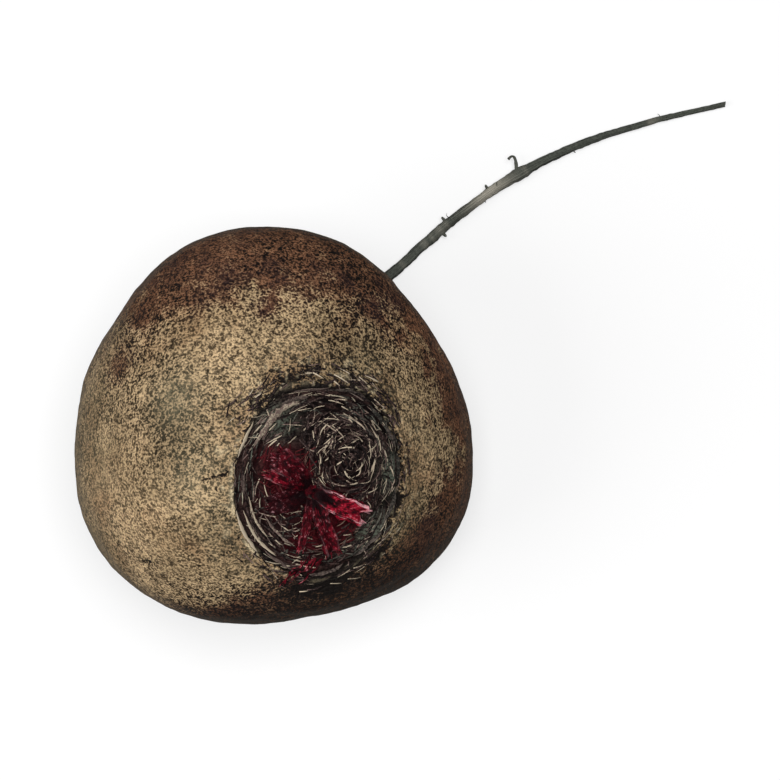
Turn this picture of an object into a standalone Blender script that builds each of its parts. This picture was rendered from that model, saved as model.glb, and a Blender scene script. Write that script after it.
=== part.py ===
"""A beetroot, as pulled and trimmed: one swollen root with its thin tap root and a few rootlets, the dark dry
collar of old leaf bases on its crown, and the crimson stubs of the leaf stalks that were broken off.

It lies with its crown leaning to one side and its tap root running away along the surface. Metres, +Z up.
The origin is the middle of the small flat spot that the root rests on.
"""

import math

import bmesh
import bpy
import numpy as np

MM = 0.001

# The swollen root
WIDTH = 72.3 * MM  # across its widest part
LENGTH = 64.0 * MM  # along its axis, from the crown to where the tap root begins
SHOULDER_POWER = 0.84  # under 1 gives broad shoulders round the crown
TAPER_POWER = 1.25  # over 1 draws the lower end towards the tap root
ROOT_SIDES = 52
# Its lobes and swellings fade towards both ends, as the sine of the way round raised to this power
FULLNESS_POWER = 2.4
# Lobes of its cross-section: how many, how deep as a share of the radius, and the bearing of one of them
LOBES = ((2, 0.019, -53.0), (3, 0.059, -30.0), (4, 0.010, -44.0), (5, 0.004, -33.0))
# Soft swellings: a wave's vector in radians per metre, its phase, and its height
SWELLINGS = (
    ((95.0, 40.0, -60.0), 0.4, 0.35 * MM),
    ((-50.0, 120.0, 45.0), 1.9, 0.30 * MM),
    ((30.0, -75.0, 140.0), 4.1, 0.30 * MM),
    ((150.0, 95.0, 80.0), 2.7, 0.20 * MM),
)
# Where the axis heads: distance along it from the crown in mm, bearing from +X, and angle above the horizon
HEADINGS = (
    (0, 153, -60),
    (5, 153, -60),
    (61.5, 72, -60),
    (67.3, 38, -8),
    (76, 38.5, -2.5),
    (89, 40.5, 0.3),
    (103, 42.5, 0.5),
    (117, 31.5, -0.6),
    (134, 23.5, -1.3),
    (149, 12.5, -1.1),
    (165, 13, -0.7),
)
# Where the axis begins, so that the flat spot's middle is the origin
CROWN_POINT = (16.1 * MM, -10.4 * MM, 59.0 * MM)

# The tap root
TAP_END = 165.0 * MM  # along the axis, from the crown
TAP_RADIUS = 0.98 * MM
TIP_RADIUS = 0.50 * MM
NUB_RADIUS = 6.5 * MM  # how much wider it is where it leaves the swollen root
NUB_START = 59.5 * MM
NUB_FADE = 4.3 * MM
KNOT_AT = 122.0 * MM  # a knot where a rootlet branches off
KNOT_RADIUS = 0.35 * MM
KNOT_SPREAD = 2.2 * MM
TAP_START = 67.0 * MM  # its own mesh begins here, inside the swollen root's
BODY_END = 76.0 * MM  # the swollen root's own mesh ends here, inside the tap root's

# The crown, seen along its axis
RIM_RADIUS = 16.2 * MM
RIM_OVAL = 0.07  # how much longer it is one way than the other
RIM_OVAL_BEARING = 82.0
# Waves of the rim: how many, how deep as a share of its radius, and the bearing of one of them
RIM_WAVES = ((3, 0.016, 25.0), (5, 0.014, -20.0), (7, 0.009, 60.0))
RIM_LIP = 0.5 * MM
DISH_DEPTH = 2.6 * MM
DISH_WALL = (0.92, 1.01)  # where the dish's wall begins and ends, as shares of the rim
CROWN_END = 25.6 * MM  # along the axis: the dish and the lip are nearer to the crown than this
FIT_GAP = 0.35 * MM  # between the crown's separate pieces

# The dry collar of old leaf bases
COLLAR_EDGE = 0.89  # its outer edge, as a share of the rim
COLLAR_FLOOR = FIT_GAP - DISH_DEPTH  # its underside, over the plain oval
COLLAR_SIDES = 44
COLLAR_LOW = -1.2 * MM  # height of its top at the edge
COLLAR_RISE = 1.6 * MM  # from there to the middle
CORE_CENTRE = (-2.7 * MM, -1.2 * MM)  # the growing point, from the crown's middle
CORE_RADIUS = 4.4 * MM
SCAR_RINGS = 4
SCAR_HEIGHT = 0.38 * MM
DOME_CENTRE = (3.9 * MM, 3.7 * MM)
DOME_RADIUS = 7.8 * MM
DOME_HEIGHT = 1.9 * MM
BRISTLE_RINGS = (6, 8, 10, 12, 14)  # how many in each ring, from the innermost outwards
BRISTLE_SHARES = (0.38, 0.79)  # the innermost and the outermost ring, as shares of the rim
BRISTLE_RADIUS = 0.34 * MM
BRISTLE_STAND = (0.5 * MM, 1.6 * MM)
BRISTLE_ROOT = 0.6 * MM  # how deep in the collar each starts
BRISTLE_SEED = 7

# Broken leaf stalks: bearing, reach from the growing point, how far the end stands above the crown's surface,
# breadth and thickness, in degrees and mm
STALKS = (
    (-31, 8.8, 3.2, 3.7, 2.4),
    (-73, 10.6, 2.4, 3.0, 1.8),
    (-104, 8.8, 2.0, 1.5, 1.2),
    (133, 8.6, 2.8, 4.2, 2.2),
    (154, 8.2, 3.0, 1.9, 1.3),
    (-167, 7.0, 2.2, 3.6, 1.5),
)
# A stalk's breadth at even steps from its foot to its broken end, as shares of the whole
STALK_SWELL = (0.62, 0.8, 0.95, 1.0, 1.0, 0.9)
STALK_SIDES = 9
# The growing point, a cushion: its rings as shares of the core's radius, and their heights
CUSHION = ((0.86, COLLAR_FLOOR), (0.92, -1.2 * MM), (0.80, 0.1 * MM), (0.45, 0.9 * MM))
CUSHION_SIDES = 20

# Rootlets: distance along the axis, bearing round it, length, radius at its foot, how far it leans forwards at
# first, and which way it curls: 0 is back along the axis, and 90 is round it. In mm and degrees.
ROOTLETS = (
    (121.2, 170, 4.6, 0.42, 0.60, 20),
    (115.2, 168, 1.2, 0.40, 0.00, 90),
    (105.0, 165, 1.3, 0.40, 0.00, -90),
    (103.1, 12, 1.3, 0.40, 0.00, -90),
    (71.0, 40, 5.5, 0.42, 0.00, -90),
    (67.5, 150, 4.5, 0.40, 0.00, 90),
    (69.0, 100, 6.5, 0.42, 0.00, -90),
    (66.5, 65, 5.0, 0.40, 0.00, 90),
)
ROOTLET_TIP = 0.31  # radius in mm
ROOTLET_CLEAR = 0.3 * MM  # between a rootlet and the surface under it

SKIN = ((0.30, 0.21, 0.125), 0.72)
DRY_FIBRE = ((0.035, 0.020, 0.016), 0.90)
CRIMSON = ((0.19, 0.014, 0.030), 0.45)


def smoothstep(low, high, x):
    t = np.clip((x - low) / (high - low), 0.0, 1.0)
    return t * t * (3 - 2 * t)


def axis_at(s):
    """The axis's points, headings and two cross directions at distances s: the headings are summed up from the
    crown. The first cross direction is +X made square to the heading, so bearings round it read as on a map."""
    steps = np.arange(0.0, TAP_END + MM, 0.25 * MM)
    keys = np.array(HEADINGS, float)

    def heading(at):
        bearing = np.radians(np.interp(at, keys[:, 0] * MM, keys[:, 1]))
        rise = np.radians(np.interp(at, keys[:, 0] * MM, keys[:, 2]))
        level = np.cos(rise)
        return np.stack([level * np.cos(bearing), level * np.sin(bearing), np.sin(rise)], -1)

    middles = heading((steps[1:] + steps[:-1]) / 2) * np.diff(steps)[:, None]
    track = np.vstack([np.zeros(3), np.cumsum(middles, axis=0)]) + np.array(CROWN_POINT)
    s = np.asarray(s, float)
    points = np.stack([np.interp(s, steps, track[:, k]) for k in range(3)], -1)
    along = heading(s)
    first = np.array([1.0, 0.0, 0.0]) - along * along[..., :1]
    first /= np.linalg.norm(first, axis=-1, keepdims=True)
    return points, along, first, np.cross(-along, first)


def globe(theta):
    """Distance along the axis and radius of the swollen root: half an oval, theta from 0 at the crown to pi."""
    power = SHOULDER_POWER + (TAPER_POWER - SHOULDER_POWER) * smoothstep(0.0, math.pi, theta)
    along = LENGTH / 2 * (1 - np.cos(theta))
    return along, WIDTH / 2 * np.clip(np.sin(theta), 0.0, None) ** power


def tap_radius(s):
    """Radius of the tap root: a nub that fades away, a slow taper and one knot."""
    nub = NUB_RADIUS * np.exp(-np.clip(s - NUB_START, 0.0, None) / NUB_FADE)
    slender = TAP_RADIUS + (TIP_RADIUS - TAP_RADIUS) * smoothstep(0.65 * TAP_END, TAP_END, s)
    return slender + nub + KNOT_RADIUS * np.exp(-(((s - KNOT_AT) / KNOT_SPREAD) ** 2))


def rim_radius(phi):
    """The crown's rim: a circle, a little longer one way than the other, with shallow waves."""
    oval = RIM_OVAL * np.cos(2 * (phi - math.radians(RIM_OVAL_BEARING))) / 2
    waves = sum(depth * np.cos(count * (phi - math.radians(at))) for count, depth, at in RIM_WAVES)
    return RIM_RADIUS * (1 + oval + waves)


def dish(rho, phi):
    """Height of the crown over the plain oval: a low lip at the rim, and a shallow dish inside it."""
    share = rho / rim_radius(phi)
    lip = RIM_LIP * np.exp(-(((share - 1.05) / 0.05) ** 2))
    return lip - DISH_DEPTH * (1 - smoothstep(*DISH_WALL, share))


def root_stations():
    """Distances along the axis and radii of the swollen root's rings, close together at the crown's rim."""
    fine = np.linspace(0.0, math.pi / 2, 2000)
    by_rim = np.linspace(14.0, 17.8, 8)
    crown_radii = np.concatenate([[2.5, 6.0, 9.5, 12.5], by_rim, [19.0, 21.0, 24.0]]) * MM
    crown = np.interp(crown_radii, globe(fine)[1], fine)
    theta = np.concatenate([crown, np.linspace(crown[-1], 0.975 * math.pi, 23)[1:]])
    s, radius = globe(theta)
    tail_s = np.linspace(LENGTH + 0.4 * MM, BODY_END, 6)
    s = np.concatenate([s, tail_s])
    radius = np.concatenate([radius, np.zeros(len(tail_s))])
    theta = np.concatenate([theta, np.full(len(tail_s), math.pi)])
    nub = np.where(s > 0.7 * LENGTH, tap_radius(s), 0.0)
    return s, (radius**3 + nub**3) ** (1 / 3), theta


def root_surface(s, radius, theta, phi):
    """Points of the swollen root: rings round the axis, with lobes and swellings, and dished at the crown."""
    points, along, first, second = axis_at(s)
    out = first * np.cos(phi)[..., None] + second * np.sin(phi)[..., None]
    fullness = np.sin(theta) ** FULLNESS_POWER
    uneven = sum(depth * np.cos(count * (phi - math.radians(at))) for count, depth, at in LOBES)
    radius = radius * (1 + uneven * fullness)
    surface = points + out * radius[..., None]
    swell = sum(height * np.sin(surface @ np.array(wave) + phase) for wave, phase, height in SWELLINGS)
    lift = np.where(s < CROWN_END, dish(radius, phi), 0.0)
    return surface + out * (swell * fullness)[..., None] - along * lift[..., None]


def crown_height(rho):
    """How far the plain oval has fallen away below its top at a distance rho from the axis."""
    fine = np.linspace(0.0, math.pi / 2, 2000)
    along, radius = globe(fine)
    return -np.interp(rho, radius, along)


def crown_point(x, y, height):
    """A point over the crown: x and y across its axis, and a height above the plain oval's surface."""
    top, along, first, second = axis_at(0.0)
    x, y, height = (np.asarray(v, float)[..., None] for v in np.broadcast_arrays(x, y, height))
    fallen = crown_height(np.hypot(x, y))
    return top + first * x + second * y - along * (height + fallen)


def skinned(name, rings, caps=(True, True), hollow=False):
    """A closed mesh over rings of points: quads between neighbours, and a flat face or one point at each end.
    A hollow one has no ends: its last ring meets its first."""
    sides = rings.shape[1]
    bm = bmesh.new()
    rows = [[bm.verts.new(point) for point in ring] for ring in rings]
    for near, far in zip(rows, rows[1:] + rows[:1] if hollow else rows[1:]):
        for k in range(sides):
            bm.faces.new((near[k], near[(k + 1) % sides], far[(k + 1) % sides], far[k]))
    ends = () if hollow else ((rows[0], caps[0], rings[0]), (rows[-1], caps[1], rings[-1]))
    for row, flat, ring in ends:
        if flat:
            bm.faces.new(row)
            continue
        peak = bm.verts.new(ring.mean(axis=0))
        for k in range(sides):
            bm.faces.new((row[k], row[(k + 1) % sides], peak))
    bmesh.ops.recalc_face_normals(bm, faces=bm.faces)
    mesh = bpy.data.meshes.new(name)
    bm.to_mesh(mesh)
    bm.free()
    made = bpy.data.objects.new(name, mesh)
    bpy.context.scene.collection.objects.link(made)
    return made


def tube(name, path, radii, sides, flatness=1.0, up=(0.0, 0.0, 1.0)):
    """A tapering rod along a path: radii across it, times flatness in the direction nearest to up."""
    path = np.asarray(path, float)
    along = np.gradient(path, axis=0)
    along /= np.linalg.norm(along, axis=1, keepdims=True)
    side = np.cross(along, np.array(up, float))
    side /= np.linalg.norm(side, axis=1, keepdims=True)
    over = np.cross(side, along)
    turn = np.arange(sides) * 2 * math.pi / sides
    radii = np.broadcast_to(radii, len(path))[:, None, None]
    ring = side[:, None] * np.cos(turn)[None, :, None]
    ring = ring + over[:, None] * (flatness * np.sin(turn))[None, :, None]
    return skinned(name, path[:, None] + ring * radii)


def keep_main_shell(mesh):
    """Drops every shell but the largest: a sealed hollow between the joined solids is filled so."""
    bm = bmesh.new()
    bm.from_mesh(mesh)
    waiting, shells = set(bm.verts), []
    while waiting:
        reached, front = set(), [waiting.pop()]
        while front:
            vertex = front.pop()
            reached.add(vertex)
            near = {edge.other_vert(vertex) for edge in vertex.link_edges} & waiting
            waiting -= near
            front.extend(near)
        shells.append(reached)
    shells.sort(key=len)
    extra = [vertex for shell in shells[:-1] for vertex in shell]
    bmesh.ops.delete(bm, geom=extra, context="VERTS")
    bm.to_mesh(mesh)
    bm.free()


def fuse(body, others):
    """Joins overlapping solids into body with one Boolean union, and removes them."""
    group = bpy.data.collections.new(body.name + "_repeats")
    bpy.context.scene.collection.children.link(group)
    for other in others:
        bpy.context.scene.collection.objects.unlink(other)
        group.objects.link(other)
    union = body.modifiers.new("Union", "BOOLEAN")
    union.operation = "UNION"
    union.operand_type = "COLLECTION"
    union.collection = group
    union.solver = "MANIFOLD"
    bpy.context.view_layer.update()
    depsgraph = bpy.context.evaluated_depsgraph_get()
    joined = bpy.data.meshes.new_from_object(body.evaluated_get(depsgraph))
    body.modifiers.clear()
    body.data = joined
    keep_main_shell(joined)
    for other in others:
        bpy.data.objects.remove(other)
    bpy.data.collections.remove(group)


def cut_flat_spot(root):
    """Planes off what reaches below the surface that the root rests on, and closes it with one flat face."""
    bm = bmesh.new()
    bm.from_mesh(root.data)
    everything = bm.verts[:] + bm.edges[:] + bm.faces[:]
    bmesh.ops.bisect_plane(
        bm, geom=everything, dist=1e-7, plane_co=(0, 0, 0), plane_no=(0, 0, -1), clear_outer=True
    )
    bmesh.ops.holes_fill(bm, edges=[e for e in bm.edges if e.is_boundary])
    bmesh.ops.recalc_face_normals(bm, faces=bm.faces)
    bm.to_mesh(root.data)
    bm.free()


def finish(made, colour, roughness):
    material = bpy.data.materials.new(made.name)
    material.use_nodes = True
    shader = material.node_tree.nodes["Principled BSDF"]
    shader.inputs["Base Color"].default_value = (*colour, 1.0)
    shader.inputs["Roughness"].default_value = roughness
    shader.inputs["Metallic"].default_value = 0.0
    made.data.materials.clear()
    made.data.materials.append(material)
    made.data.shade_smooth()
    made.data.set_sharp_from_angle(angle=math.radians(50))


def rootlet(index, at, bearing, length, radius, lean, swing):
    """A fine side root: it leaves the tap root sideways, and curls back along it or round it."""
    foot, along, first, second = axis_at(at * MM)
    turn, swing = math.radians(bearing), math.radians(swing)
    out = first * math.cos(turn) + second * math.sin(turn)
    curl = np.cross(along, out) * math.sin(swing) - along * math.cos(swing)
    out = (out + along * lean) / math.hypot(1.0, lean)
    t = np.linspace(0.0, 1.0, 6)[:, None]
    reach = length * MM
    sunk = tap_radius(at * MM) * 0.6
    path = foot + out * (sunk + reach * np.sin(1.9 * t) * 0.8) + curl * reach * 0.45 * t**2
    path[:, 2] = np.maximum(path[:, 2], radius * MM + ROOTLET_CLEAR)
    radii = np.linspace(radius, ROOTLET_TIP, len(path)) * MM
    return tube(f"rootlet_{index}", path, radii, 5, up=(0.31, 0.17, 0.94))


def make_root():
    """The swollen root, its tap root and its rootlets, fused, and planed off where they rest."""
    s, radius, theta = root_stations()
    phi = np.arange(ROOT_SIDES) * 2 * math.pi / ROOT_SIDES
    grid = [np.repeat(v[:, None], ROOT_SIDES, axis=1) for v in (s, radius, theta)]
    rings = root_surface(*grid, np.repeat(phi[None], len(s), axis=0))
    root = skinned("root", rings, caps=(False, True))
    stretches = np.linspace(TAP_START, TAP_END, 30)
    points = axis_at(stretches)[0]
    tap = tube("tap_root", points, tap_radius(stretches) * 0.985, 9)
    side_roots = [rootlet(k, *sizes) for k, sizes in enumerate(ROOTLETS)]
    fuse(root, [tap, *side_roots])
    cut_flat_spot(root)
    finish(root, *SKIN)
    return root


def collar_top(x, y):
    """Height of the collar over the plain oval: scar rings that rise to the middle, and a rounded dome."""
    phi = np.arctan2(y, x)
    share = np.hypot(x, y) / rim_radius(phi)
    rise = COLLAR_LOW + COLLAR_RISE * smoothstep(COLLAR_EDGE, 0.45, share)
    wander = 0.35 * np.sin(3 * phi + 0.7) + 0.25 * np.sin(5 * phi + 2.0)
    scars = SCAR_HEIGHT * np.cos(2 * math.pi * SCAR_RINGS * share / COLLAR_EDGE + wander)
    off = np.hypot(x - DOME_CENTRE[0], y - DOME_CENTRE[1]) / DOME_RADIUS
    return rise + scars + DOME_HEIGHT * np.clip(1 - off**2, 0.0, None)


def stalk_path(bearing, reach, stand, count=len(STALK_SWELL)):
    """The middle line of a broken stalk: up out of the growing point, then leaning outwards."""
    turn = math.radians(bearing)
    t = np.linspace(0.0, 1.0, count)
    out = reach * MM * t**1.25 + 1.0 * MM
    x = CORE_CENTRE[0] + out * math.cos(turn)
    y = CORE_CENTRE[1] + out * math.sin(turn)
    start = -DISH_DEPTH + 2.2 * MM
    height = start + (stand * MM - start) * np.sin(t * math.pi / 2) ** 0.8
    return x, y, height


def near_stalk(x, y):
    """True where a stalk passes over or close by, so that no bristle grows into it."""
    for bearing, reach, stand, breadth, _thick in STALKS:
        sx, sy, _height = stalk_path(bearing, reach, stand, 12)
        if np.hypot(x[:, None] - sx, y[:, None] - sy).min() < breadth / 2 * MM + 1.1 * MM:
            return True
    return False


def grow_bristles():
    """Ends of old leaf veins: arcs in rings round the crown, each rising out of the collar at one end."""
    rng = np.random.default_rng(BRISTLE_SEED)
    up = -axis_at(0.0)[1]
    t = np.linspace(0.0, 1.0, 4)
    shares = np.linspace(*BRISTLE_SHARES, len(BRISTLE_RINGS))
    for ring, (count, share) in enumerate(zip(BRISTLE_RINGS, shares)):
        slot = 2 * math.pi / count
        for k in range(count):
            start = slot * (k + ring / 2 + rng.uniform(-0.12, 0.12))
            sweep = slot * rng.uniform(0.45, 0.68) * rng.choice([-1, 1])
            stand = rng.uniform(*BRISTLE_STAND)
            bearing = start - sweep / 2 + sweep * t
            rho = (share + rng.uniform(0.0, 0.05) * t) * rim_radius(bearing)
            x, y = rho * np.cos(bearing), rho * np.sin(bearing)
            off_core = np.hypot(x - CORE_CENTRE[0], y - CORE_CENTRE[1]).min()
            if near_stalk(x, y) or off_core < CORE_RADIUS + 0.8 * MM:
                continue
            radii = np.linspace(BRISTLE_RADIUS * 1.5, BRISTLE_RADIUS, len(t))
            height = collar_top(x, y) - BRISTLE_ROOT + (BRISTLE_ROOT + stand) * np.sin(t * 2.2)
            height = np.maximum(height, COLLAR_FLOOR + radii + 0.1 * MM)
            yield tube(f"bristle_{ring}_{k}", crown_point(x, y, height), radii, 4, up=up)


def make_collar():
    """A ring round the growing point: its top is scarred, and its underside follows the floor of the dish."""
    phi = np.arange(COLLAR_SIDES) * 2 * math.pi / COLLAR_SIDES
    outer = COLLAR_EDGE * rim_radius(phi)
    inner_x = CORE_CENTRE[0] + CORE_RADIUS * np.cos(phi)
    inner_y = CORE_CENTRE[1] + CORE_RADIUS * np.sin(phi)

    def row(mix, on_top):
        x = inner_x + (outer * np.cos(phi) - inner_x) * mix
        y = inner_y + (outer * np.sin(phi) - inner_y) * mix
        return crown_point(x, y, collar_top(x, y) if on_top else COLLAR_FLOOR)

    top = [row(mix, True) for mix in np.linspace(1.0, 0.0, 10)]
    underside = [row(mix, False) for mix in (0.0, 0.5, 1.0)]
    collar = skinned("crown_collar", np.array(top + underside), hollow=True)
    fuse(collar, list(grow_bristles()))
    finish(collar, *DRY_FIBRE)
    return collar


def make_stalks():
    """The growing point, a low cushion in the collar's hole, with the broken stalks rising from it."""
    phi = np.arange(CUSHION_SIDES) * 2 * math.pi / CUSHION_SIDES
    rows = []
    for share, height in CUSHION:
        x = CORE_CENTRE[0] + CORE_RADIUS * share * np.cos(phi)
        y = CORE_CENTRE[1] + CORE_RADIUS * share * np.sin(phi)
        rows.append(crown_point(x, y, height))
    core = skinned("leaf_stalk_stubs", np.array(rows), caps=(True, False))
    stalks = []
    up = -axis_at(0.0)[1]
    for bearing, reach, stand, breadth, thick in STALKS:
        x, y, height = stalk_path(bearing, reach, stand)
        radii = breadth / 2 * MM * np.array(STALK_SWELL)
        path = crown_point(x, y, height)
        stalks.append(tube(f"stalk_{len(stalks)}", path, radii, STALK_SIDES, thick / breadth, up))
    fuse(core, stalks)
    finish(core, *CRIMSON)
    return core


def main():
    for existing in list(bpy.data.objects):
        bpy.data.objects.remove(existing)
    make_root()
    make_collar()
    make_stalks()


main()
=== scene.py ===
# %% [markdown]
# A beetroot, as pulled and trimmed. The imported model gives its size, its stance and where each piece sits,
# and this notebook dresses it: a scurfy brown skin, a thin bark on the tap root, a crown of dry leaf
# remains, and the crimson stubs of the leaf stalks that were broken off.

# %% Load the model
import math

import bpy
import numpy as np
from mathutils import Matrix


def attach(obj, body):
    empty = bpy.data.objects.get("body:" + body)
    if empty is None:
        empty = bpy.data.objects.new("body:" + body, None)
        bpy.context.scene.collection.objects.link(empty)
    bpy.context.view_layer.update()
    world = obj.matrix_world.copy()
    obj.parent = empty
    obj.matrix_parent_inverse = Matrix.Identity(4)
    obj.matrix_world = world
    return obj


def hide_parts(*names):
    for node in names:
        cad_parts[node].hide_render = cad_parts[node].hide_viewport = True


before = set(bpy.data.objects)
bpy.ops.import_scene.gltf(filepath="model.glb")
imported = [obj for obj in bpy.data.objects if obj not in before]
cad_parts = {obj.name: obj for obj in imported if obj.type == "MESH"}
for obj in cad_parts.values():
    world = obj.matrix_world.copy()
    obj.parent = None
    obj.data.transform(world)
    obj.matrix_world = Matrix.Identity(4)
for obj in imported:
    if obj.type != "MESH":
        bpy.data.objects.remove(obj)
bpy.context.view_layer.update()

# %% [markdown]
# The fine surfaces have to lie where the solids lie, so the root's driving sizes come first. The root is a
# round form carried along a bent axis. Its crown, at the start of the axis, leans to one side, and the tap
# root, at the other end, turns along the surface that the root rests on.

# %% The root's sizes
MM = 0.001
WIDTH = 72.3 * MM
LENGTH = 64.0 * MM
SHOULDER_POWER = 0.84
TAPER_POWER = 1.25
FULLNESS_POWER = 2.4
# Lobes of the cross-section: how many, how deep as a share of the radius, and the bearing of one of them
LOBES = ((2, 0.019, -53.0), (3, 0.059, -30.0), (4, 0.010, -44.0), (5, 0.004, -33.0))
# Soft swellings: a wave's vector in radians per metre, its phase, and its height
SWELLINGS = (
    ((95.0, 40.0, -60.0), 0.4, 0.35 * MM),
    ((-50.0, 120.0, 45.0), 1.9, 0.30 * MM),
    ((30.0, -75.0, 140.0), 4.1, 0.30 * MM),
    ((150.0, 95.0, 80.0), 2.7, 0.20 * MM),
)
# Where the axis heads: distance along it from the crown in mm, bearing from +X, angle above the horizon
HEADINGS = (
    (0, 153, -60), (5, 153, -60), (61.5, 72, -60), (67.3, 38, -8), (76, 38.5, -2.5), (89, 40.5, 0.3),
    (103, 42.5, 0.5), (117, 31.5, -0.6), (134, 23.5, -1.3), (149, 12.5, -1.1), (165, 13, -0.7),
)
AXIS_STEP = 0.25 * MM
CROWN_POINT = np.array([16.1 * MM, -10.4 * MM, 59.0 * MM])
TAP_END = 165.0 * MM
TAP_RADIUS = 0.98 * MM
TIP_RADIUS = 0.50 * MM
NUB_RADIUS = 6.5 * MM
NUB_START = 59.5 * MM
NUB_FADE = 4.3 * MM
KNOT_AT = 122.0 * MM
KNOT_RADIUS = 0.35 * MM
BODY_END = 76.0 * MM
RIM_RADIUS = 16.2 * MM
RIM_OVAL = 0.07
RIM_OVAL_BEARING = 82.0
RIM_WAVES = ((3, 0.016, 25.0), (5, 0.014, -20.0), (7, 0.009, 60.0))
RIM_LIP = 0.5 * MM
DISH_DEPTH = 2.6 * MM
COLLAR_EDGE = 0.89
COLLAR_FLOOR = 0.35 * MM - DISH_DEPTH
DOME_CENTRE = (3.9 * MM, 3.7 * MM)
DOME_RADIUS = 7.8 * MM
DOME_HEIGHT = 1.9 * MM
CORE_CENTRE = (-2.7 * MM, -1.2 * MM)
CORE_RADIUS = 4.4 * MM
print(f"the root is {WIDTH / MM:.1f} mm across, and its axis is {TAP_END / MM:.0f} mm long")

# %% [markdown]
# Blender could sweep a circle along a curve, but the crown's dish and the lobes need more than a circle. So
# the form is a function of two numbers, the distance along the axis and the bearing round it, worked out
# with whole arrays.


# %% The root as a function
def smoothstep(low, high, x):
    """0 below low, 1 above high, and a smooth S between: t squared times (3 - 2 t)."""
    t = np.clip((x - low) / (high - low), 0.0, 1.0)
    return t * t * (3 - 2 * t)


def bump(x, centre, width):
    """A bell: e to the minus square of the distance from the centre over the width."""
    return np.exp(-(((x - centre) / width) ** 2))


def unit(vectors):
    """Vectors over their own lengths."""
    return vectors / np.maximum(np.linalg.norm(vectors, axis=-1, keepdims=True), 1e-12)


def between(at, keys, rows):
    """Rows of numbers that belong to keys, read at other places: each column on straight lines."""
    return np.stack([np.interp(at, keys, column) for column in np.transpose(rows)], -1)


def heading(s):
    """The axis's direction at distances s, from its bearing and its rise between the key headings."""
    keys = np.array(HEADINGS, float)
    bearing, rise = (np.radians(np.interp(s, keys[:, 0] * MM, keys[:, k])) for k in (1, 2))
    level = np.cos(rise)
    return np.stack([level * np.cos(bearing), level * np.sin(bearing), np.sin(rise)], -1)


def axis_at(s):
    """Points, headings and two cross directions at distances s: the headings summed up from the crown."""
    steps = np.arange(0.0, TAP_END + MM, AXIS_STEP)
    pieces = heading((steps[1:] + steps[:-1]) / 2) * np.diff(steps)[:, None]
    track = np.vstack([np.zeros(3), np.cumsum(pieces, axis=0)]) + CROWN_POINT
    along = heading(s)
    first = unit(np.array([1.0, 0.0, 0.0]) - along * along[..., :1])
    return between(s, steps, track), along, first, np.cross(-along, first)


def globe(theta):
    """Half an oval: distance along the axis and radius, for theta from the crown, 0, to pi."""
    power = SHOULDER_POWER + (TAPER_POWER - SHOULDER_POWER) * smoothstep(0.0, math.pi, theta)
    return LENGTH / 2 * (1 - np.cos(theta)), WIDTH / 2 * np.clip(np.sin(theta), 0, None) ** power


def tap_radius(s):
    """Radius of the tap root: a nub that fades away, a slow taper and one knot."""
    nub = NUB_RADIUS * np.exp(-np.clip(s - NUB_START, 0.0, None) / NUB_FADE)
    slender = TAP_RADIUS + (TIP_RADIUS - TAP_RADIUS) * smoothstep(0.65 * TAP_END, TAP_END, s)
    return slender + nub + KNOT_RADIUS * bump(s, KNOT_AT, 2.2 * MM)


def rim_radius(phi):
    """The crown's rim: a circle, a little longer one way than the other, with shallow waves."""
    oval = RIM_OVAL * np.cos(2 * (phi - math.radians(RIM_OVAL_BEARING))) / 2
    waves = sum(depth * np.cos(count * (phi - math.radians(at))) for count, depth, at in RIM_WAVES)
    return RIM_RADIUS * (1 + oval + waves)


def dish(rho, phi):
    """Height over the plain oval: a low lip at the rim, and a shallow dish inside it."""
    share = rho / rim_radius(phi)
    return RIM_LIP * bump(share, 1.05, 0.05) - DISH_DEPTH * (1 - smoothstep(0.92, 1.01, share))


def root_surface(s, radius, theta, phi):
    """Rings round the axis, made uneven by lobes and swellings, and dished at the crown."""
    points, along, first, second = axis_at(s)
    out = first * np.cos(phi)[..., None] + second * np.sin(phi)[..., None]
    fullness = np.sin(theta) ** FULLNESS_POWER
    uneven = sum(depth * np.cos(n * (phi - math.radians(at))) for n, depth, at in LOBES)
    radius = radius * (1 + uneven * fullness)
    surface = points + out * radius[..., None]
    swell = sum(h * np.sin(surface @ np.array(wave) + phase) for wave, phase, h in SWELLINGS)
    lift = np.where(s < 0.4 * LENGTH, dish(radius, phi), 0.0)
    return surface + out * (swell * fullness)[..., None] - along * lift[..., None]


def crown_point(x, y, height):
    """A point over the crown: x and y across its axis, and a height above the plain oval."""
    top, along, first, second = axis_at(0.0)
    fall, reach = globe(np.linspace(0.0, math.pi / 2, 2000))
    x, y, height = np.broadcast_arrays(x, y, height)
    height = height - np.interp(np.hypot(x, y), reach, fall)
    return top + first * x[..., None] + second * y[..., None] - along * height[..., None]


CROWN_UP = -axis_at(0.0)[1]
print("the crown faces", np.round(CROWN_UP, 2))

# %% [markdown]
# The camera comes early, because marks that the photograph shows are placed by where the camera sees them.
# It looks almost straight down, seven degrees off the upright, from half a metre. One pixel of the
# photograph is 0.45 mm at the root's middle. The render takes in the part of the photograph that holds
# this root.

# %% The camera
PIXEL = 0.45 * MM
DISTANCE = 500 * MM
OFF_UPRIGHT, SIGHT_BEARING = math.radians(7), math.radians(-39)
ROOT_MIDDLE = axis_at(LENGTH / 2)[0]
ROOT_MIDDLE_PIXEL = (275.8, 299.5)
VIEW_CENTRE_PIXEL = (322.5, 282.5)
VIEW_PIXELS = 315.0
SENSOR_WIDTH = 36.0
BACK = np.array([
    math.sin(OFF_UPRIGHT) * math.cos(SIGHT_BEARING),
    math.sin(OFF_UPRIGHT) * math.sin(SIGHT_BEARING),
    math.cos(OFF_UPRIGHT),
])
RIGHT = unit(np.cross([0, 1, 0], BACK))
UP = np.cross(BACK, RIGHT)
CAMERA_AT = ROOT_MIDDLE + BACK * DISTANCE


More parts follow.
